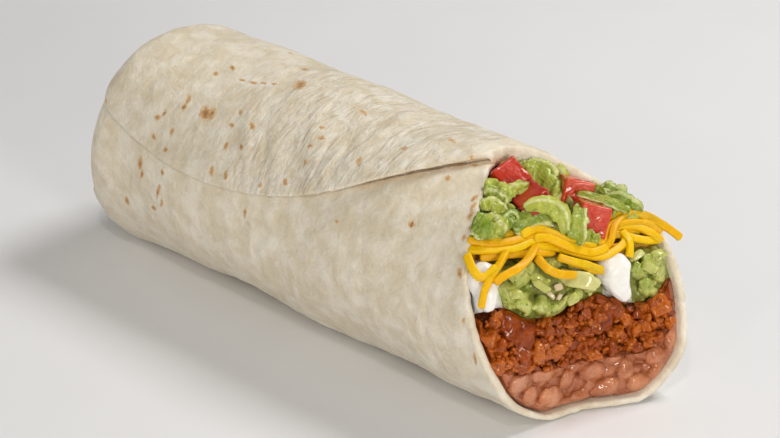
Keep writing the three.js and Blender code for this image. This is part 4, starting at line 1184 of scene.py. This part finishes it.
tongue_points, *tongue_faces = repeated(
    np.stack([tongue(knots, widths, 21 + 6 * k) for k, (knots, widths) in enumerate(TONGUES)]),
    *ring_faces(60, 48))
cream_tongues = piece("cream_tongues", tongue_points, *tongue_faces, "sour_cream")
cream_tongues.data.materials.append(cream_look.material)

# %% [markdown]
# Shredded cheese
# Real cheddar shreds are bars 2 to 2.6 mm wide and 1.5 to 2 mm thick with rounded edges, a
# little uneven, that bend softly and end cut off or torn. They lie in a band across the mouth,
# cross each other, and a few hang down over the cream and the guacamole.

# %% Cheese shreds
SHREDS = [
    [(-23.6, 53.1, 1.5), (-17.5, 51.6, 2.0), (-11.3, 51.1, 2.6), (-4.3, 50.9, 3.2)],
    [(-24.9, 51.2, 1.2), (-18.5, 50.2, 1.8), (-12.5, 49.7, 2.2), (-4.2, 50.0, 3.0)],
    [(-11.4, 52.6, 1.6), (-6.5, 52.6, 3.0), (-2.0, 51.1, 4.0), (2.0, 48.5, 4.6), (6.6, 45.4, 4.2)],
    [(-0.9, 50.7, 3.2), (3.5, 47.3, 4.6), (8.8, 44.4, 4.8), (15.5, 45.2, 4.0)],
    [(0.1, 46.9, 3.2), (5.6, 43.9, 4.4), (11.6, 42.0, 4.6), (18.9, 43.2, 4.2), (21, 45, 3.4)],
    [(14.5, 44.0, 3.4), (17.6, 46.6, 3.6), (21.0, 47.8, 3.2), (26.5, 48.3, 3.0), (30.2, 47.3, 3.2)],
    [(19.8, 47.8, 2.4), (28.5, 47.9, 3.4), (32.6, 44.9, 5.0), (36.1, 41.0, 6.4)],
    [(18.8, 46.8, 2.2), (24.8, 46.0, 3.0), (28.2, 44.0, 3.6), (30.1, 41.5, 4.2)],
    [(18.3, 45.7, 2.0), (21.7, 44.3, 2.8), (25.7, 42.8, 3.2), (29.8, 42.0, 3.4)],
    [(20.7, 45.8, 3.2), (21.0, 43.7, 4.6), (20.4, 42.1, 5.2), (19.0, 40.2, 5.0)],
    [(-15.7, 49.6, 3.4), (-21.2, 45.9, 5.4), (-25.3, 42.8, 6.4), (-28.2, 38.8, 6.8)],
    [(-25.6, 50.4, 2.4), (-26.1, 47.0, 4.8), (-24.5, 45.2, 5.6), (-20.1, 47.0, 5.6)],
    [(-6.6, 49.0, 3.8), (-14.1, 46.0, 6.2), (-19.4, 44.8, 6.8), (-22.4, 43.6, 6.6)],
    [(-8.5, 46.9, 4.6), (-7.2, 44.1, 5.8), (-4.2, 42.0, 6.2), (1.2, 40.3, 6.0)],
    [(-1.7, 45.1, 3.8), (2.0, 43.1, 5.2), (6.2, 41.2, 5.9), (9.8, 39.2, 6.0)],
    [(1.0, 43.5, 4.0), (4.8, 41.6, 5.2), (7.5, 39.9, 5.6), (9.9, 39.3, 5.4)],
    [(-21.1, 53.5, 0.6), (-15.4, 52.4, 1.0), (-9.4, 52.3, 1.2), (-1.7, 50.3, 1.8)],
    [(11.8, 45.6, 1.6), (18.0, 45.4, 1.8), (23.9, 45.6, 2.0), (30.4, 44.4, 2.4)],
    [(-14.9, 50.2, 1.4), (-7.6, 49.0, 2.0), (-1.1, 46.9, 2.4), (3.9, 44.8, 2.6)],
    [(-23.0, 49.2, 0.8), (-16.0, 48.8, 1.2), (-9.0, 47.8, 1.4), (-2.0, 46.2, 1.6)],
    [(2.0, 47.2, 0.8), (8.0, 44.6, 1.2), (14.0, 43.0, 1.4), (22.0, 43.0, 1.4)],
    [(-19.0, 54.0, 0.2), (-12.0, 53.4, 0.6), (-5.0, 52.6, 0.8), (1.0, 50.6, 1.0)],
    [(15.0, 46.6, 0.4), (21.0, 46.8, 0.8), (26.0, 46.0, 1.0), (30.0, 43.0, 1.2)],
    [(-9.4, 51.4, 3.4), (-4.6, 51.6, 4.4), (0.6, 49.4, 5.2), (5.4, 46.2, 5.2), (11.4, 43.8, 4.6)],
    [(-6.2, 50.2, 3.6), (-1.6, 49.0, 4.8), (3.2, 46.0, 5.6), (9.0, 43.4, 5.6), (14.2, 43.4, 4.8)],
    [(-24.2, 52.4, 0.4), (-16.6, 51.8, 1.0), (-10.0, 51.0, 1.6), (-5.0, 51.4, 2.2)],
    [(12.6, 43.2, 4.0), (16.2, 44.6, 4.8), (19.4, 47.0, 4.4), (23.6, 48.6, 3.6)],
    [(17.0, 48.2, 2.6), (23.0, 49.0, 3.0), (29.0, 47.6, 3.6), (33.6, 44.4, 4.6)],
    [(19.6, 46.9, 2.8), (24.2, 47.0, 3.4), (29.2, 45.6, 3.6), (31.2, 43.4, 3.8)],
]
SHRED_WIDTH, SHRED_HEIGHT = 2.2, 1.5


def shred(knots, draw, steps=44, columns=16):
    """A rounded bar: a squarish oval section, thinner at its cut ends, with small nicks."""
    s = np.linspace(0, 1, steps)[:, None]
    around = np.arange(columns) / columns * 2 * np.pi
    squarish = 0.5
    wide, high = (np.sign(f) * np.abs(f) ** squarish for f in (np.cos(around), np.sin(around)))
    ends = 0.25 + 0.75 * np.minimum(1, np.minimum(s, 1 - s) * 12 + 0.1) ** 0.6
    width = SHRED_WIDTH / 2 * draw.uniform(0.86, 1.08) * ends
    height = SHRED_HEIGHT / 2 * draw.uniform(0.86, 1.08) * ends
    own = draw.uniform(0, 90)
    place = np.stack(np.broadcast_arrays(s * 9, np.cos(around), np.sin(around)), axis=-1) + own
    nicks = 1 + 0.09 * rough(place, 1.6, 2, 13)
    twist = draw.uniform(-25, 25) + 18 * np.sin(4 * s[:, 0] + own)
    line, side, top = path_frames(knots, steps, twist)
    points = swept_body(line, side, top, wide * width * nicks, high * height * nicks)
    return points, draw.uniform(0, 1)


draw = np.random.default_rng(5)
shreds = [shred(knots, draw) for knots in SHREDS]
shred_points, *shred_faces = repeated(np.stack([s[0] for s in shreds]), *ring_faces(44, 16))
shred_tone = np.repeat([s[1] for s in shreds], shreds[0][0].shape[0])
cheese = piece("cheese_shreds", shred_points, *shred_faces, "shredded_cheese",
               values={"tone": shred_tone})

cheddar = Look("cheddar", Subsurface_Weight=0.25, Subsurface_Radius=(1.4, 0.8, 0.1),
               Subsurface_Scale=0.0014, Coat_Weight=0.0, Specular_IOR_Level=0.22)
curd = cheddar.noise(1.8, 3)
yellow = cheddar.paint(
    cheddar.mix(cheddar.step(cheddar.stored("tone"), 0, 1), (0.80, 0.41, 0.001),
                (0.87, 0.54, 0.003)),
    # Painted highlight where the curd noise is high.
    (cheddar.step(curd, 0.5, 0.75) * 0.5, (0.92, 0.64, 0.03)),
    (cheddar.step(curd, 0.25, 0.42, 0.45, 0.0), (0.66, 0.29, 0.001)))
cheddar.finish([cheese], yellow, cheddar.step(curd, 0.3, 0.7, 0.32, 0.48), (curd, 0.12),
               (cheddar.noise(0.5, 2), 0.04))

# %% [markdown]
# Diced tomato
# Each real die is a cut cube of about 9 mm: flat wet faces, slightly rounded edges that are
# not quite square, and flesh that sags a little between them. A cube's grid is rounded by
# pushing its corners in to a radius, then made uneven by noise, and turned as its solid is.

# %% Tomato dice
DICE = [(-0.4, 59.6, 0.0, 35, -25, 20, 8.5), (1.1, 54.7, 4.0, 38, 20, 25, 9.0),
        (15.7, 53.9, 1.0, -10, 10, 12, 8.7), (14.6, 49.3, 4.6, -12, 12, 14, 8.7)]


def turn_matrix(axis, degrees):
    """Rotation about x, y or z by an angle."""
    c, s = np.cos(np.radians(degrees)), np.sin(np.radians(degrees))
    i, j = [(1, 2), (2, 0), (0, 1)][axis]
    matrix = np.eye(3)
    matrix[i, i], matrix[i, j], matrix[j, i], matrix[j, j] = c, -s, s, c
    return matrix


def die_body(n=22):
    """Unit cube as a closed grid: rings go down the sides, each ring a square of points."""
    edge = np.linspace(-1, 1, n + 1)[:-1]
    walk = np.concatenate([np.stack([edge, -np.ones(n)], -1), np.stack([np.ones(n), edge], -1),
                           np.stack([-edge, np.ones(n)], -1), np.stack([-np.ones(n), -edge], -1)])
    lid = np.linspace(0, 1, n // 2 + 1)[1:]
    sizes = np.concatenate([lid, np.ones(n - 1), lid[::-1]])
    heights = np.concatenate([np.ones(len(lid)), np.linspace(1, -1, n + 1)[1:-1],
                              -np.ones(len(lid))])
    rings = np.stack([np.concatenate([walk * size, np.full((len(walk), 1), h)], axis=1)
                      for size, h in zip(sizes, heights)])
    points = np.concatenate([[[0, 0, 1.0]], rings.reshape(-1, 3), [[0, 0, -1.0]]])
    return points, *ring_faces(*rings.shape[:2])


unit_die, die_quads, die_caps = die_body()
dice_pieces = []
for number, (y, z, out, turn, nod, yaw, size) in enumerate(DICE, 1):
    half, radius = size / 2, 0.7
    core = np.clip(unit_die * half, radius - half, half - radius)
    rest = unit_die * half - core
    reach = np.linalg.norm(rest, axis=1, keepdims=True)
    body = core + rest / np.maximum(reach, 1e-9) * np.minimum(reach, radius)
    own = number * 31.0
    body = body * (1 + 0.035 * np.stack([lattice(unit_die[:, [1, 2, 0]] * 0.9 + own, k)
                                         for k in range(3)], axis=-1))
    body = body * (1 - 0.03 * (1 - np.abs(unit_die[:, [2, 0, 1]]) ** 2))
    body = body + unit_die * 0.10 * rough(body + own, 1.8, 2, 6)[:, None]
    matrix = turn_matrix(1, yaw) @ turn_matrix(0, nod) @ turn_matrix(2, turn)
    basis = np.stack([ACROSS, UPWARD, OUTWARD], axis=-1)
    points = body @ (basis @ matrix).T + on_face(y, z, out)
    dice_pieces.append(piece(f"tomato_die_{number}", points, die_quads, die_caps,
                             "diced_tomato", [f"diced_tomato_{number}"],
                             {"cut": body * 0.001}))

# %% Tomato material
def tomato_look(die, number, fresh):
    """Wet flesh: fibres run through it from a paler core, seeds' jelly is more orange."""
    look = Look(f"tomato_{number}", Subsurface_Weight=0.10, Subsurface_Radius=(1.4, 0.2, 0.1),
                Subsurface_Scale=0.0012, Coat_Weight=0.7, Coat_Roughness=0.04,
                Specular_IOR_Level=0.25)
    cut = look.stored("cut", "Vector")
    fibre = look.noise(1.4, 4, 0.6, look.stretched((1.0, 0.28, 1.0), (0.3, 0.2, 0.4), cut), 0.3)
    jelly = look.noise(4.5, 2, 0.5, cut)
    colour = look.paint(
        look.mix(look.step(fibre, 0.3, 0.7), fresh, tuple(1.25 * c + 0.01 for c in fresh)),
        (look.step(jelly, 0.52, 0.68) * 0.5, (0.60, 0.06, 0.008)),
        (look.step(fibre, 0.64, 0.80) * 0.25, (0.66, 0.14, 0.05)))
    look.finish([die], colour, look.step(fibre, 0.3, 0.7, 0.07, 0.22),
                (fibre, 0.22), (look.noise(0.9, 3), 0.10))


FRESH = [(0.44, 0.022, 0.003), (0.42, 0.018, 0.003), (0.56, 0.055, 0.010), (0.54, 0.036, 0.008)]
for number, (die, fresh) in enumerate(zip(dice_pieces, FRESH), 1):
    tomato_look(die, number, fresh)

# %% [markdown]
# Shredded lettuce
# Real strips are 3 to 8 mm wide, thin, and crinkled: each has a pale thick rib side and a
# greener ruffled edge, bends over its neighbours and shows its cut ends. The strips that lie
# about and over the tomato are placed one by one, and rows of random ones fill in behind.

# %% Lettuce strips
LEAVES = [
    (4, [(0.6, 61.6, 0.6), (4.6, 61.7, 1.4), (8.0, 61.0, 1.4)]),
    (4.8, [(6.9, 60.4, 1.6), (10.2, 59.8, 2.8), (13.6, 58.6, 2.2), (13.0, 57.2, 2.4)]),
    (7, [(5.8, 60.1, 2.4), (8.7, 59.0, 3.2), (9.5, 56.9, 3.8), (8.6, 55.0, 3.6)]),
    (6, [(13.7, 59.2, 1.6), (15.2, 57.5, 2.4), (13.1, 55.6, 3.0), (8.5, 54.5, 3.4)]),
    (5, [(-9.6, 60.0, 2.4), (-7.2, 60.2, 4.4), (-5.6, 58.9, 5.6), (-6.4, 57.2, 4.8)]),
    (3.6, [(-7.6, 58.6, 4.0), (-1.8, 58.3, 7.4), (4.4, 57.9, 8.6)]),
    (6, [(-11.6, 59.6, 2.0), (-8.7, 59.2, 3.4), (-8.2, 56.9, 4.0)]),
    (4, [(-15.2, 58.4, 2.2), (-11.2, 58.1, 4.0), (-9.4, 55.6, 4.8)]),
    (6.5, [(-20.0, 56.2, 2.2), (-18.7, 55.3, 3.8), (-19.2, 52.6, 4.4)]),
    (6.5, [(-14.4, 57.1, 2.8), (-15.2, 55.0, 4.6), (-13.6, 52.6, 4.4)]),
    (4, [(-14.1, 53.2, 4.0), (-10.5, 54.8, 5.6), (-8.0, 55.2, 5.4), (-8.8, 53.4, 4.6)]),
    (6, [(-10.6, 52.9, 3.8), (-4.2, 53.2, 5.8), (1.8, 52.6, 6.4), (5.6, 50.6, 5.4)]),
    (5.2, [(-2.6, 55.0, 9.2), (2.6, 54.6, 12.0), (6.2, 53.2, 12.0), (7.0, 51.2, 10.4),
           (4.4, 48.3, 7.0)]),
    (5.0, [(14.8, 52.2, 10.2), (11.4, 50.0, 11.2), (8.6, 47.8, 9.8), (7.0, 45.4, 7.0)]),
    (5, [(8.7, 46.9, 5.4), (10.8, 45.7, 5.8), (12.4, 44.4, 5.4)]),
    (2.6, [(16.1, 53.8, 7.2), (19.9, 52.6, 7.8), (23.4, 51.0, 6.6), (25.6, 48.9, 4.8)]),
    (6, [(23.6, 53.9, 1.6), (25.2, 52.6, 2.6), (27.2, 51.0, 2.8)]),
    (5.5, [(22.6, 52.2, 4.2), (26.4, 50.4, 4.4), (28.6, 48.3, 3.8)]),
    (5, [(21.6, 50.0, 3.4), (24.5, 48.6, 4.0), (28.0, 48.9, 3.4)]),
    (5, [(6.6, 51.9, 2.0), (5.0, 50.3, 3.4), (3.8, 48.8, 4.4)]),
    (6, [(22.8, 53.2, 2.0), (22.6, 51.3, 3.0), (22.0, 49.4, 3.2)]),
    (4, [(19.6, 54.8, 0.6), (21.4, 53.6, 1.8), (22.6, 51.6, 2.2)]),
    (4.4, [(3.0, 60.4, 1.0), (6.6, 60.2, 2.2), (10.6, 59.6, 2.0)]),
]


def leaf(width, knots, draw, calm=1.0, steps=40, across=11):
    """A thin strip: camber and a ruffle that grows towards its edges, thicker at the rib."""
    s = np.linspace(0, 1, steps)[:, None]
    v = np.linspace(-1, 1, across)[None]
    own = draw.uniform(0, 90)
    rib = draw.choice([-0.75, -0.5, 0.5, 0.75])
    taper = 0.14 + 0.86 * np.minimum(1, np.minimum(s, 1 - s) * 3.6 + 0.03) ** 0.7
    place = np.stack(np.broadcast_arrays(s * 10, v * 1.5, own), axis=-1)
    edge = 1 + 0.20 * rough(np.stack(np.broadcast_arrays(s * 10, np.sign(v), own), axis=-1),
                            1.2, 3, 3)
    wide = v * width / 2 * taper * edge
    ruffle = (0.22 + 0.6 * np.abs(v - rib * 0.6) ** 1.4) * np.sin(
        draw.uniform(13, 20) * s + 1.6 * v + own)
    camber = draw.uniform(-0.3, 0.2) * width * 0.3 * (v * v - 0.4)
    height = calm * (camber + 0.50 * ruffle) + 0.75 * rough(place, 0.85, 3, 5)
    thick = 0.12 + 0.24 * np.exp(-((v - rib) / 0.16) ** 2)
    thick = thick * np.minimum(1, 6 * (1.02 - np.abs(v)))
    upper, lower = height + thick / 2 * taper, height - thick / 2 * taper
    side_way = np.concatenate([wide, wide[:, ::-1]], axis=1)
    top_way = np.concatenate([lower, upper[:, ::-1]], axis=1)
    twist = calm * (draw.uniform(-30, 30) + draw.uniform(-50, 50) * (s[:, 0] - 0.5))
    line, side, top = path_frames(knots, steps, twist)
    points = swept_body(line, side, top, side_way, top_way)
    across_value = np.broadcast_to(np.concatenate([v, v[:, ::-1]], axis=1), side_way.shape)
    near_rib = np.exp(-((across_value - rib) / 0.26) ** 2).ravel()
    strip = np.zeros((len(points), 3))
    strip[1:-1, 0] = np.broadcast_to(s, side_way.shape).ravel() * 10
    strip[1:-1, 1] = across_value.ravel() * width / 2
    strip[:, 2] = own
    # Strips whose middle lies high in the mouth get a paler tone: painted light at the top of the
    # heap.
    tone = min(1.0, draw.uniform(0, 1) + 0.4 * (knots[1][1] > 57))
    return points, np.concatenate([[0], near_rib, [0]]), strip * 0.001, tone


draw = np.random.default_rng(47)
leaves = [leaf(width, knots, draw, 0.5) for width, knots in LEAVES]
fill_places = within(staggered(draw, 4.6, 44, 61), CHEESE_TOP, ROOF_LINE, edge=0.93,
                     low_room=0.4, top_room=0.2)
near_dice = [np.hypot(fill_places[:, 0] - die[0], fill_places[:, 1] - die[1]) for die in DICE]
for y, z in fill_places[np.min(near_dice, axis=0) > 5.4]:
    way = np.radians(draw.uniform(0, 360))
    length = draw.uniform(3.2, 5.0)
    step = np.array([np.cos(way), np.sin(way)]) * length
    out = draw.uniform(-0.6, 1.6)
    knots = [(y - step[0], z - step[1], out - 1.6), (y + draw.uniform(-1, 1), z, out + 1.2),
             (y + step[0], z + step[1], out - 1.6)]
    shares = section_share(np.array([k[0] for k in knots]), np.array([k[1] for k in knots]), 0.0)
    if shares[0].max() < 0.97:
        leaves.append(leaf(draw.uniform(4.0, 6.5), knots, draw))
leaf_points, *leaf_faces = repeated(np.stack([one[0] for one in leaves]), *ring_faces(40, 22))
lettuce = piece("lettuce_strips", leaf_points, *leaf_faces, "shredded_lettuce", values={
    "rib": np.concatenate([one[1] for one in leaves]),
    "strip": np.concatenate([one[2] for one in leaves]),
    "tone": np.repeat([one[3] for one in leaves], leaves[0][0].shape[0])})

# %% Lettuce material
leaf_look = Look("lettuce_leaf", Subsurface_Weight=0.2, Subsurface_Radius=(0.5, 1.0, 0.15),
                 Subsurface_Scale=0.0012, Coat_Weight=0.25, Coat_Roughness=0.12)
strip = leaf_look.stored("strip", "Vector")
vein = leaf_look.noise(1.3, 4, 0.6, leaf_look.stretched((0.4, 1.0, 1.0), (0, 0, 0.5), strip), 0.5)
rib = leaf_look.stored("rib")
green = leaf_look.paint(
    leaf_look.mix(leaf_look.step(leaf_look.stored("tone"), 0.1, 0.9), (0.21, 0.31, 0.016),
                  (0.46, 0.53, 0.060)),
    (leaf_look.step(vein, 0.45, 0.75) * 0.6, (0.55, 0.60, 0.11)),
    (leaf_look.step(vein, 0.28, 0.47, 0.75, 0.0), (0.12, 0.20, 0.008)),
    (leaf_look.step(rib + (vein - 0.5) * 0.5, 0.35, 0.95) * 0.8, (0.72, 0.74, 0.34)))
leaf_look.finish([lettuce], green, leaf_look.step(vein, 0.3, 0.7, 0.24, 0.42), (vein, 0.6))
